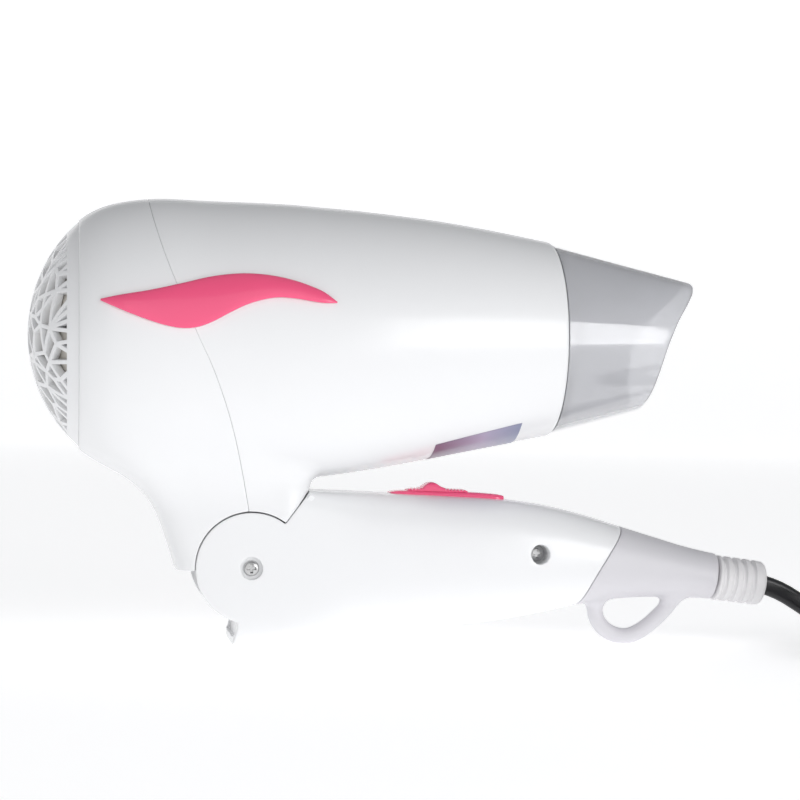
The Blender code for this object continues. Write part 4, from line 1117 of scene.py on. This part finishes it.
@dataclass
class HandleShells:
    """The two halves of the handle, with a round cheek each.

    The wall in the mouth is a ring sector about the pivot, between two radii and two angles in
    degrees. It has a flange at the lip and one at the shoulder, each given by its outer radius and
    by its thickness in degrees.
    """

    cell: float = 1.5
    wall: float = 2.4
    split: float = 0.15
    sleeve_gap: float = 0.2
    sleeve_edge: Curve = Curve([
        (8, 50.0), (13.3, 52.9), (22, 57.2), (30, 62.4), (36.7, 67.2), (42, 69.5)])
    mouth: tuple[float, float] = (17.0, 18.6)
    mouth_half: float = 15.5
    mouth_turns: tuple[float, float] = (-101.4, 50.8)
    lip_flange: tuple[float, float] = (22.2, 4.0)
    shoulder_flange: tuple[float, float] = (28.3, 3.2)
    flange_rise: tuple[float, float] = (5.0, 4.5)
    pivot: Recess = Recess(HINGE.pivot, 3.4, 16.2, 15.35)
    boss: Recess = Recess((39.2, 29.6), 3.05, 14.2, 8.0)

    def halves(self) -> list[tuple[Side, Skin]]:
        """Returns the skin of each half."""
        low, high, end = (-90, -25, -8), (80, 25, 60), 74
        skin = Skin(lambda p: np.maximum(HANDLE(p), p[:, 0] - end), low, high, self.cell)
        skin.cut(Trim(lambda p: p[:, 0] - self.sleeve_edge(p[:, 2]) + self.sleeve_gap, 0.25))
        skin.cut(Trim(HINGE.handle_edge, 0.35))
        found = []
        for side, half in zip(Side, (skin, skin.copy())):
            half.cut(Trim(lambda p, s=side.value: self.split - s * p[:, 1], 0.2))
            half.cut(self.pivot.trim())
            if side is Side.RIGHT:
                half.cut(self.boss.trim())
            found.append((side, half))
        return found

    def add_mouth_wall(self, bm: bmesh.types.BMesh, side: Side) -> None:
        """Adds the wall behind the knuckle, which closes the mouth from the lip to the shoulder."""
        (near, far), (lip, shoulder) = self.mouth, self.mouth_turns
        (lip_reach, lip_thick), (top_reach, top_thick) = self.lip_flange, self.shoulder_flange
        low, high = lip + self.flange_rise[0], shoulder - self.flange_rise[1]
        polar = [(near, lip + (shoulder - lip) * n / 32) for n in range(33)]
        polar += [(top_reach, shoulder), (top_reach, shoulder - top_thick)]
        polar += [(far, high - (high - low) * n / 32) for n in range(33)]
        polar += [(lip_reach, lip + lip_thick), (lip_reach, lip)]
        px, pz = HINGE.pivot
        turns = [(reach, math.radians(turn)) for reach, turn in polar]
        outline = [(px + reach * math.cos(a), pz + reach * math.sin(a)) for reach, a in turns]
        loft(bm, [[(x, side.value * y, z) for x, z in outline]
                  for y in (self.split, self.mouth_half)])

    def dress(self, shop: Workshop) -> None:
        """Makes both halves, each with the tubes of its screws."""
        for side, half in self.halves():
            bm = half.shell(self.wall, grounded=True)
            self.add_mouth_wall(bm, side)
            self.pivot.add_tube(bm, side)
            if side is Side.RIGHT:
                self.boss.add_tube(bm, side)
            name = side.name.lower()
            shop.piece(f"handle_{name}", bm, "white_plastic", "handle", [f"handle_shell_{name}"])


@dataclass
class EndSleeve:
    """The soft grey sleeve at the end of the handle, with the loop that the dryer hangs by."""

    cell: float = 1.15
    wall: float = 2.1
    gap: float = 0.2
    loop_radius: float = 2.5
    fillet: float = 3.2
    edge: Curve = HandleShells.sleeve_edge
    inner_end: float = 46.0
    length: float = 7.1
    loop_room: tuple[float, float] = (22.0, 9.0)
    route: tuple[tuple[float, float, float], ...] = (
        (60.6, 0, 15.5), (59.9, 0, 10.4), (61.0, 0, 7.2), (63.6, 0, 4.4), (67.6, 0, 2.7),
        (71.2, 0, 2.7), (75.0, 0, 4.4), (78.8, 0, 7.2), (82.4, 0, 10.6), (85.0, 0, 13.8),
        (86.2, 0, 15.6))

    def along(self, p: np.ndarray) -> np.ndarray:
        """Returns how far the points lie along the strain relief, from its inner end."""
        (x1, z1), (x2, z2) = RELIEF_AXIS
        length = math.hypot(x2 - x1, z2 - z1)
        return ((p[:, 0] - x1) * (x2 - x1) + (p[:, 2] - z1) * (z2 - z1)) / length

    def form(self, p: np.ndarray) -> np.ndarray:
        """Returns about how far each point is outside the sleeve and its loop."""
        far_off = 1e3
        loop = np.full(len(p), far_off)
        near = (p[:, 2] < self.loop_room[0]) & (np.abs(p[:, 1]) < self.loop_room[1])
        line = np.array(smooth_route(self.route, 2.0))
        best = np.full(int(near.sum()), far_off)
        for a, b in zip(line, line[1:]):
            offset, run = p[near] - a, b - a
            t = np.clip(offset @ run / (run @ run), 0, 1)
            best = np.minimum(best, np.linalg.norm(offset - t[:, None] * run, axis=1))
        loop[near] = best - self.loop_radius
        return np.maximum(soft_min(HANDLE(p), loop, self.fillet), self.inner_end - p[:, 0])

    def dress(self, shop: Workshop) -> None:
        """Makes the sleeve and its loop as one piece."""
        skin = Skin(self.form, (44, -21, -6), (116, 21, 58), self.cell)
        skin.cut(Trim(lambda p: self.edge(p[:, 2]) + self.gap - p[:, 0], 0.3))
        skin.cut(Trim(lambda p: self.along(p) - self.length, 0.5))
        bm = skin.shell(self.wall, grounded=True)
        shop.piece("sleeve_with_loop", bm, "sleeve_grey", "handle", ["end_sleeve"])


@dataclass
class StrainRelief:
    """The ribbed guard round the lead where it leaves the handle."""

    neck: float = 7.8
    neck_radius: float = 4.1
    first: float = 9.8
    pitch: float = 3.1
    grooves: int = 4
    groove_half: float = 0.85
    depth: float = 0.95
    radius: float = 7.1
    taper: float = 0.02
    end_round: float = 1.6
    bore: float = 3.5

    def profile(self) -> list[tuple[float, float]]:
        """Returns the turned profile, with round ribs between the grooves."""
        length, soft = math.dist(*RELIEF_AXIS), self.end_round
        points = [(0.0, self.bore), (0.0, self.neck_radius), (self.neck, self.neck_radius),
                  (self.neck, self.radius - 0.5), (self.neck + 0.4, self.radius)]
        for n in range(self.grooves):
            middle = self.first + self.pitch * n
            for m in range(9):
                across = -1 + m / 4
                drop = self.depth * (1 - abs(across) ** 2.6)
                points.append((middle + self.groove_half * across,
                               self.radius - self.taper * n - drop))
        for n in range(7):
            turn = math.pi / 2 * n / 6
            points.append((length - soft + soft * math.sin(turn),
                           self.radius - 0.2 - soft + soft * math.cos(turn)))
        return points + [(length, self.bore + 0.4), (length - 0.4, self.bore)]

    def dress(self, shop: Workshop) -> None:
        """Makes the guard."""
        (x1, z1), (x2, z2) = RELIEF_AXIS
        bm = bmesh.new()
        turned(bm, self.profile(), (x1, 0, z1), (x2 - x1, 0, z2 - z1), 96)
        shop.piece("lead_guard", bm, "relief_grey", "handle", ["strain_relief"], sharp=50)


@dataclass
class Switch:
    """The slide switch: its pink plate, and the button with a hump between two ribbed grips."""

    plate: Curve = Curve([(-5.5, 48.9), (-2.7, 49.0), (8, 48.75), (21, 48.25), (30, 47.5)])
    half: float = 4.6
    point: float = 2.4
    sunk: float = 0.3
    button: tuple[float, float] = (-0.1, 18.7)
    button_half: float = 4.1
    under: Curve = Curve([(-0.1, 48.95), (18.7, 48.3)])
    crest: Curve = Curve([(-0.1, 0.4), (1.0, 0.75), (3.2, 0.9), (5.0, 1.6), (6.7, 2.7), (8.5, 2.7),
                          (10.4, 1.6), (12.4, 1.05), (15.5, 0.9), (17.8, 0.75), (18.7, 0.4)])
    ribs: tuple[tuple[float, float], ...] = ((0.8, 4.7), (11.4, 17.4))
    rib_pitch: float = 1.05
    rib_depth: float = 0.38

    def bar(self, places: Sequence[float], half: Reading, low: Reading,
            high: Reading) -> bmesh.types.BMesh:
        """Lofts a bar with round shoulders.

        Args:
            places: Where its sections stand along X.
            half: Half its width at a place.
            low: The height of its underside.
            high: The height of its crest.

        Returns:
            The bar's mesh.
        """
        sections = []
        for x in places:
            wide, base = half(x), low(x)
            tall = max(0.05, high(x) - base)
            outline = [(-wide, base), (wide, base)]
            for n in range(9):
                turn = math.pi * n / 8
                outline.append((wide * math.copysign(abs(math.cos(turn)) ** 0.35, math.cos(turn)),
                                base + tall * (0.35 + 0.65 * math.sin(turn) ** 0.6)))
            sections.append([(x, y, z) for y, z in outline])
        bm = bmesh.new()
        loft(bm, sections)
        return bm

    def grip(self, x: float) -> float:
        """Returns how deep the ribs cut into the crest at x."""
        for start, end in self.ribs:
            if start < x < end:
                turn = 2 * math.pi * (x - start) / self.rib_pitch
                return self.rib_depth * (0.5 - 0.5 * math.cos(turn))
        return 0.0

    def dress(self, shop: Workshop) -> None:
        """Makes the plate and the button."""
        first, last = self.plate.xs[0], self.plate.xs[-1]
        places = [first + (last - first) * n / 48 for n in range(49)]

        def ends(x: float) -> float:
            """Returns how full the plate is, from its pointed ends to its middle."""
            return min(1.0, math.sqrt(max(0.0, min(x - first, last - x)) / self.point + 0.04))

        bm = self.bar(places, lambda x: self.half * (0.72 + 0.28 * ends(x)),
                      lambda x: float(HANDLE.top(x)) - self.sunk,
                      lambda x: float(self.plate(x)) - 0.4 * (1 - ends(x)))
        shop.piece("switch_surround", bm, "pink_plastic", "handle", ["switch_plate"], sharp=50)
        first_b, last_b = self.button
        places = [first_b + (last_b - first_b) * n / 150 for n in range(151)]

        def half(x: float) -> float:
            """Returns half the button's width, which is less near its ends."""
            return self.button_half - 0.9 * max(0.0, 1 - min(x - first_b, last_b - x) / 1.2)

        bm = self.bar(places, half, lambda x: float(self.under(x)),
                      lambda x: float(self.under(x) + self.crest(x)) - self.grip(x))
        shop.piece("switch_button", bm, "pink_plastic", "slider", ["switch_slider"], sharp=50)


@dataclass
class CrossScrew:
    """A pan-head screw with a cross recess.

    The slot's length and width are shares of the head's radius.
    """

    SLOT_LONG = 0.66
    SLOT_WIDE = 0.2

    node: str
    seat: tuple[float, float, float]
    outward: int
    head: float
    tall: float
    shank: float
    length: float

    def dress(self, shop: Workshop) -> None:
        """Makes the screw, with its recess cut by a tapered cross."""
        profile = [(-self.length, 0.0), (-self.length, self.shank), (0, self.shank), (0, self.head)]
        for n in range(9):
            turn = math.pi / 2 * n / 8
            profile.append((self.tall * (0.3 + 0.7 * math.sin(turn)),
                            self.head * (0.1 + 0.9 * math.cos(turn))))
        profile.append((self.tall, 0.0))
        bm = bmesh.new()
        turned(bm, profile, self.seat, (0, self.outward, 0), 48)
        made = shop.piece(f"{self.node}_fine", bm, "steel", "handle", [self.node], sharp=40)
        long, narrow = self.SLOT_LONG * self.head, self.SLOT_WIDE * self.head
        for n, (wide, high) in enumerate(((narrow, long), (long, narrow))):
            tool = bmesh.new()
            x, y, z = self.seat
            sections = []
            for depth, share in ((self.tall + 0.3, 1.1), (self.tall - 1.0, 0.7)):
                at = y + self.outward * depth
                sections.append([(x + a * share * wide, at, z + b * share * high)
                                 for a, b in ((1, 1), (-1, 1), (-1, -1), (1, -1))])
            loft(tool, sections)
            self.carve(made, tool, n)

    def carve(self, made: bpy.types.Object, tool: bmesh.types.BMesh, n: int) -> None:
        """Cuts the tool from the screw and applies the cut."""
        bmesh.ops.recalc_face_normals(tool, faces=tool.faces[:])
        tool.transform(STAND @ Matrix.Scale(MM, 4))
        mesh = bpy.data.meshes.new(f"{self.node}_tool_{n}")
        tool.to_mesh(mesh)
        tool.free()
        cutter = bpy.data.objects.new(mesh.name, mesh)
        bpy.context.scene.collection.objects.link(cutter)
        cut = made.modifiers.new("recess", "BOOLEAN")
        cut.operation = "DIFFERENCE"
        cut.object = cutter
        cut.solver = "EXACT"
        graph = bpy.context.evaluated_depsgraph_get()
        result = bpy.data.meshes.new_from_object(made.evaluated_get(graph), depsgraph=graph)
        made.modifiers.clear()
        made.data = result
        bpy.data.objects.remove(cutter, do_unlink=True)


@dataclass
class MainsLead:
    """The flat two-core lead: down to the floor, into a coil of its spare length, and to the plug.

    The wrap is the radius that the coil is entered at, and outer is that of its widest full turn.
    The run starts inside the guard, and the exit is where it comes out of it, in millimetres.
    """

    width: float = 6.0
    thick: float = 3.6
    length: float = 1.7
    exit: tuple[float, float, float] = (115.87, 0.0, 19.12)
    run: tuple[tuple[float, float, float], ...] = (
        (104.0, 0, 20.6), (110.0, 0, 19.9), (116.0, 0, 18.9), (122.5, 0, 16.6), (129.0, 0, 12.9),
        (136.0, 0, 8.6), (144.0, 0, 5.2), (153.0, 0, 3.6))
    centre: tuple[float, float] = (164.0, -44.4)
    wrap: float = 44.35
    outer: float = 38.6
    pitch: float = 3.9
    turns: int = 4
    layers: tuple[float, float] = (4.0, 10.2)
    low: float = 3.3
    shift_turn: float = 110.0
    last_turn: float = 142.0
    rise: tuple[tuple[float, float], ...] = ((0, 0.0), (14, 0.9), (26, 2.9))
    bend: tuple[tuple[float, float], ...] = (
        (180.0, 5.0), (157.5, 7.0), (135.0, 8.6), (112.5, 9.9), (90.0, 10.5))
    plug_at: tuple[float, float, float] = (149.0, -18.4, 20.7)
    plug_axis: float = 7.0
    plug_sections: tuple[tuple[float, float, float, float, float], ...] = (
        (0, 2.9, 4.4, 9.6, 2.2), (0.6, 3.6, 3.9, 10.1, 2.8), (4, 4.4, 3.6, 10.4, 3.0),
        (5.2, 3.9, 4.2, 9.8, 2.6), (6.4, 4.8, 3.4, 10.6, 3.0), (8.4, 5.2, 3.2, 10.9, 3.0),
        (9.6, 4.8, 3.7, 10.4, 2.8), (11, 5.9, 2.5, 11.5, 3.4), (17, 8.2, 1.2, 12.5, 4.4),
        (24, 10.4, 0.4, 13.1, 5.0), (29, 11.0, 0.0, 13.5, 5.0), (34.2, 11.0, 0.0, 13.9, 4.6),
        (35.5, 10.5, 0.5, 13.4, 4.0), (36, 9.7, 1.2, 12.7, 3.4))
    pin_sections: tuple[tuple[float, float, float], ...] = (
        (35.0, 1.5, 6.2), (50.5, 1.5, 6.2), (51.6, 1.4, 5.4), (52.9, 0.7, 3.2))
    pin_shift: float = 6.35

    def at(self, turn: float, radius: float, height: float) -> Vector:
        """Returns a point of the coil, at an angle in degrees that grows clockwise from +X."""
        x, y = self.centre
        angle = math.radians(-turn)
        return Vector((x + radius * math.cos(angle), y + radius * math.sin(angle), height))

    def radius_at(self, turn: float) -> tuple[float, float]:
        """Returns the coil's radius and height after so many degrees.

        Each turn is round for most of its way and shifts by one pitch over its first part, so that
        the turns lie side by side. The first layer works inwards on the floor, and the second one
        outwards on top of it.
        """
        lap, rest = divmod(turn, 360.0)
        shift = min(1.0, rest / self.shift_turn)
        shift = shift * shift * (3 - 2 * shift)
        if lap < self.turns:
            start = self.wrap if lap == 0 else self.outer - self.pitch * (lap - 1)
            return start + (self.outer - self.pitch * lap - start) * shift, self.low_at(lap, shift)
        inner = self.outer - self.pitch * (self.turns - 1)
        level = lap - self.turns
        if level == 0:
            return inner, self.layers[0] + (self.layers[1] - self.layers[0]) * shift
        return inner + self.pitch * (level - 1 + shift), self.layers[1]

    def low_at(self, lap: float, shift: float) -> float:
        """Returns the height of the first layer, which climbs onto the tie in its first part."""
        return self.low + (self.layers[0] - self.low) * shift if lap == 0 else self.layers[0]

    def route(self) -> list[Vector]:
        """Returns the centreline from inside the guard to inside the plug."""
        entry = [self.at(a, self.wrap, self.low) for a in range(-90, 1, 15)]
        points = smooth_route([*self.run, *entry], 3.0)
        end = 360.0 * (2 * self.turns - 1) + self.last_turn
        count = int(end / 9)
        for n in range(1, count + 1):
            turn = end * n / count
            radius, height = self.radius_at(turn)
            points.append(self.at(turn, radius, height))
        radius, height = self.radius_at(end)
        px, py, pz = self.plug_at
        reach = py - self.centre[1]
        middle = self.centre[0] - radius + reach
        rise = [self.at(self.last_turn + turn, radius, height + lift) for turn, lift in self.rise]
        for turn, lift in self.bend:
            a = math.radians(turn)
            rise.append(Vector((middle + reach * math.cos(a), self.centre[1] + reach * math.sin(a),
                                height + lift)))
        rise.append(Vector((px + 8, py, pz)))
        return points + smooth_route(rise, 3.0)[1:]

    def dress(self, shop: Workshop) -> None:
        """Makes the lead, its tie, its plug and the plug's pins."""
        route = self.route()
        bm = bmesh.new()
        swept(bm, route, rounded(self.thick, self.width, self.thick / 2 - 0.1, 5))
        lead = shop.piece("mains_lead", bm, "cord_black", "handle", ["mains_cord", "cord_coil"],
                          FLAT, 60)
        tie = self.tie(shop)
        body, pins = self.plug(shop)
        tuple(c * MM for c in self.exit)

    def tie(self, shop: Workshop) -> bpy.types.Object:
        """Makes the strap round the coil, with its loose end lapped over."""
        x, strap = self.centre[0], 0.7
        y, z, top = self.centre[1] - 33.0, 7.15, 15.0
        route = [Vector((x, y + a, z + b)) for a, b in rounded(18.0, 14.0, 3.4, 6)]
        bm = bmesh.new()
        swept(bm, route, rounded(strap, 6.0, 0.3, 2), (1, 0, 0), capped=False)
        lap = [Vector((x, y + a, top)) for a in (-5.0, -1.5, 2.5, 5.5)]
        swept(bm, lap, rounded(5.6, strap, 0.3, 2), (0, 0, 1))
        return shop.piece("lead_tie", bm, "black_plastic", "handle", ["cord_tie"], FLAT, 50)

    def plug(self, shop: Workshop) -> tuple[bpy.types.Object, list[bpy.types.Object]]:
        """Makes the two-pin plug, which lies on the coil."""
        x, y, z = self.plug_at
        low = z - self.plug_axis
        sections = []
        for reach, half, under, over, corner in self.plug_sections:
            outline = rounded(2 * half, over - under, corner, 5)
            sections.append([(x + reach, y + a, low + (under + over) / 2 + b) for a, b in outline])
        bm = bmesh.new()
        loft(bm, sections)
        body = shop.piece("plug_moulding", bm, "black_plastic", "handle", ["plug_body"], FLAT, 50)
        pins = []
        for side in Side:
            shift = self.pin_shift * side.value
            blade = [[(x + reach, y + shift + a, z + b)
                      for a, b in rounded(wide, tall, wide * 0.3, 3)]
                     for reach, wide, tall in self.pin_sections]
            bm = bmesh.new()
            loft(bm, blade)
            name = side.name.lower()
            pins.append(shop.piece(f"pin_{name}", bm, "brass", "handle", [f"plug_pin_{name}"],
                                   FLAT, 50))
        return body, pins


@dataclass
class InnerWorks:
    """The CAD nodes that are shown as they are, each with the slot of its finish."""

    slots: tuple[tuple[str, str], ...] = (
        ("front_guard", "beige_plastic"), ("motor_mount", "beige_plastic"),
        ("fan_impeller", "beige_plastic"), ("heat_shield", "mica"), ("mica_cross", "mica"),
        ("heating_coil", "steel"), ("thermostat", "steel"), ("motor", "steel"),
        ("motor_shaft", "steel"), ("hinge_axle", "steel"), ("thermal_fuse", "nylon"),
        ("hinge_washer_right", "nylon"), ("hinge_washer_left", "nylon"), ("cord_clamp", "nylon"),
        ("hinge_knuckle", "white_plastic"), ("switch_body", "black_plastic"),
        ("live_lead", "wire_red"), ("neutral_lead", "wire_blue"))

    def dress(self, shop: Workshop, nodes: dict[str, bpy.types.Object]) -> None:
        """Gives each node its finish."""
        for name, slot in self.slots:
            shop.carry_over(nodes[name], slot)


@dataclass
class Studio:
    """The floor, the soft lights and the camera."""

    aim: tuple[float, float, float] = (-2.05, 0.0, 76.9)
    azimuth: float = -9.0
    distance: float = 650.0
    lens: float = 94.4

    def camera(self) -> None:
        """Makes the camera, which leans with the level drawing."""
        made = bpy.data.cameras.new("camera")
        made.lens, made.sensor_width, made.clip_start = self.lens, 36.0, 0.01
        holder = bpy.data.objects.new("camera", made)
        turn = math.radians(self.azimuth)
        back = Vector((math.sin(turn), -math.cos(turn), 0))
        place = (Vector(self.aim) + back * self.distance) * MM
        look = back.to_track_quat("Z", "Y").to_matrix().to_4x4()
        holder.matrix_world = STAND @ Matrix.Translation(place) @ look
        bpy.context.scene.collection.objects.link(holder)
        bpy.context.scene.camera = holder

    def light(self, name: str, place: Sequence[float], aim: Sequence[float],
              size: tuple[float, float], power: float) -> None:
        """Makes one soft box.

        Args:
            name: The light's name.
            place: Where it stands, in metres.
            aim: The point that it faces.
            size: Its width and height in metres.
            power: Its power in watts.
        """
        lamp = bpy.data.lights.new(name, "AREA")
        lamp.shape, lamp.size, lamp.size_y = "RECTANGLE", *size
        lamp.energy = power
        holder = bpy.data.objects.new(name, lamp)
        look = (Vector(place) - Vector(aim)).to_track_quat("Z", "Y").to_matrix().to_4x4()
        holder.matrix_world = Matrix.Translation(place) @ look
        bpy.context.scene.collection.objects.link(holder)

    def floor(self) -> None:
        """Makes the pale floor, which rises in a wide curve behind the dryer."""
        bm = bmesh.new()
        depth, sweep, height, half = 3.0, 1.5, 2.2, 6.0
        profile = [(-depth, 0.0), (depth, 0.0)]
        for n in range(1, 13):
            turn = math.pi / 2 * n / 12
            profile.append((depth + sweep * math.sin(turn), sweep * (1 - math.cos(turn))))
        profile.append((depth + sweep, height))
        rows = [[bm.verts.new((x, y, z)) for x in (-half, half)] for y, z in profile]
        for one, two in zip(rows, rows[1:]):
            bm.faces.new((one[0], one[1], two[1], two[0]))
        mesh = bpy.data.meshes.new("floor")
        bm.to_mesh(mesh)
        bm.free()
        mesh.shade_smooth()
        paper = bpy.data.materials.new("paper")
        paper.use_nodes = True
        nodes, links = paper.node_tree.nodes, paper.node_tree.links
        shader = nodes["Principled BSDF"]
        shader.inputs["Roughness"].default_value = 0.9
        shader.inputs["Specular IOR Level"].default_value = 0.1
        shader.inputs["Emission Color"].default_value = (1, 1, 1, 1)
        shader.inputs["Emission Strength"].default_value = 0.53
        noise = nodes.new("ShaderNodeTexNoise")
        noise.inputs["Scale"].default_value = 3.0
        ramp = nodes.new("ShaderNodeValToRGB")
        ramp.color_ramp.elements[0].color = (0.93, 0.93, 0.935, 1)
        ramp.color_ramp.elements[1].color = (0.95, 0.95, 0.955, 1)
        links.new(noise.outputs["Fac"], ramp.inputs["Fac"])
        links.new(ramp.outputs["Color"], shader.inputs["Base Color"])
        mesh.materials.append(paper)
        made = bpy.data.objects.new("floor", mesh)
        bpy.context.scene.collection.objects.link(made)

    def sky(self) -> None:
        """Makes the even light of a white room, a little weaker from above."""
        world = bpy.data.worlds.new("room")
        world.use_nodes = True
        bpy.context.scene.world = world
        nodes, links = world.node_tree.nodes, world.node_tree.links
        place = nodes.new("ShaderNodeTexCoord")
        split = nodes.new("ShaderNodeSeparateXYZ")
        links.new(place.outputs["Generated"], split.inputs["Vector"])
        ramp = nodes.new("ShaderNodeValToRGB")
        ramp.color_ramp.elements[0].position = 0.10
        ramp.color_ramp.elements[0].color = (1, 1, 1, 1)
        ramp.color_ramp.elements[1].position = 0.70
        ramp.color_ramp.elements[1].color = (0.54, 0.55, 0.57, 1)
        links.new(split.outputs["Z"], ramp.inputs["Fac"])
        links.new(ramp.outputs["Color"], nodes["Background"].inputs["Color"])
        nodes["Background"].inputs["Strength"].default_value = 0.56

    def dress(self) -> None:
        """Makes the stage."""
        self.floor()
        self.sky()
        self.light("front_box", (-0.35, -1.5, 0.55), (0, 0, 0.08), (1.6, 1.0), 2.7)
        self.light("nozzle_box", (0.52, -0.74, 0.16), (0.07, 0, 0.1), (0.4, 0.42), 2.4)
        bpy.context.scene.view_settings.view_transform = "Standard"


FINISHES = (
    Finish("white_plastic", (0.88, 0.885, 0.895), 0.26, coat=0.12, drift=0.006, relief=0.02),
    Finish("pink_plastic", (0.93, 0.10, 0.235), 0.22, coat=0.3, drift=0.03, relief=0.03),
    Finish("smoke_plastic", (0.78, 0.785, 0.815), 0.10, clear=0.55, coat=1.0, drift=0.02,
           relief=0.01, ior=1.4),
    Finish("sleeve_grey", (0.68, 0.67, 0.70), 0.42, Grain.SOFT, drift=0.02, relief=0.12),
    Finish("relief_grey", (0.80, 0.79, 0.80), 0.50, Grain.SOFT, drift=0.02, relief=0.15),
    Finish("beige_plastic", (0.60, 0.57, 0.52), 0.50, Grain.SOFT, drift=0.05),
    Finish("black_plastic", (0.020, 0.020, 0.022), 0.38, Grain.SOFT, drift=0.10, relief=0.15),
    Finish("cord_black", (0.016, 0.016, 0.018), 0.30, Grain.SOFT, drift=0.12, relief=0.12),
    Finish("mica", (0.60, 0.50, 0.36), 0.55, Grain.FLAKED, drift=0.12, relief=0.25),
    Finish("steel", (0.60, 0.60, 0.60), 0.28, Grain.BRUSHED, metallic=1.0, drift=0.06, relief=0.10),
    Finish("brass", (0.78, 0.62, 0.34), 0.28, Grain.BRUSHED, metallic=1.0, drift=0.06, relief=0.10),
    Finish("nylon", (0.82, 0.82, 0.78), 0.45, Grain.SOFT, drift=0.03),
    Finish("wire_red", (0.50, 0.05, 0.04), 0.40, Grain.SOFT, drift=0.08),
    Finish("wire_blue", (0.05, 0.11, 0.42), 0.40, Grain.SOFT, drift=0.08),
    LabelFinish("label_foil", (0.38, 0.36, 0.46), 0.35, coat=0.3, start=0.008, end=0.035),
)


def main() -> None:
    """Builds the camera and the lead, then every other piece."""
    logging.basicConfig(level=logging.INFO, format="%(message)s")
    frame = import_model()
    shop = Workshop({finish.slot: finish for finish in FINISHES})
    studio = Studio()
    studio.camera()
    MainsLead().dress(shop)
    for part in (Housings(), Grille(), LeafTrims(), RatingLabel(), Nozzle(), HandleShells(),
                 EndSleeve(), StrainRelief(), Switch()):
        part.dress(shop)
    px, pz = HINGE.pivot
    for side in Side:
        name = f"pivot_screw_{side.name.lower()}"
        CrossScrew(name, (px, side.value * 15.5, pz), side.value, 2.35, 1.2, 1.2, 4.4).dress(shop)
    CrossScrew("handle_screw", (39.2, -8.1, 29.6), -1, 2.6, 1.6, 0.95, 10.5).dress(shop)
    InnerWorks().dress(shop, frame["nodes"])
    studio.dress()
    LOG.info("%d pieces made", shop.count)


if __name__ == "__main__":
    main()
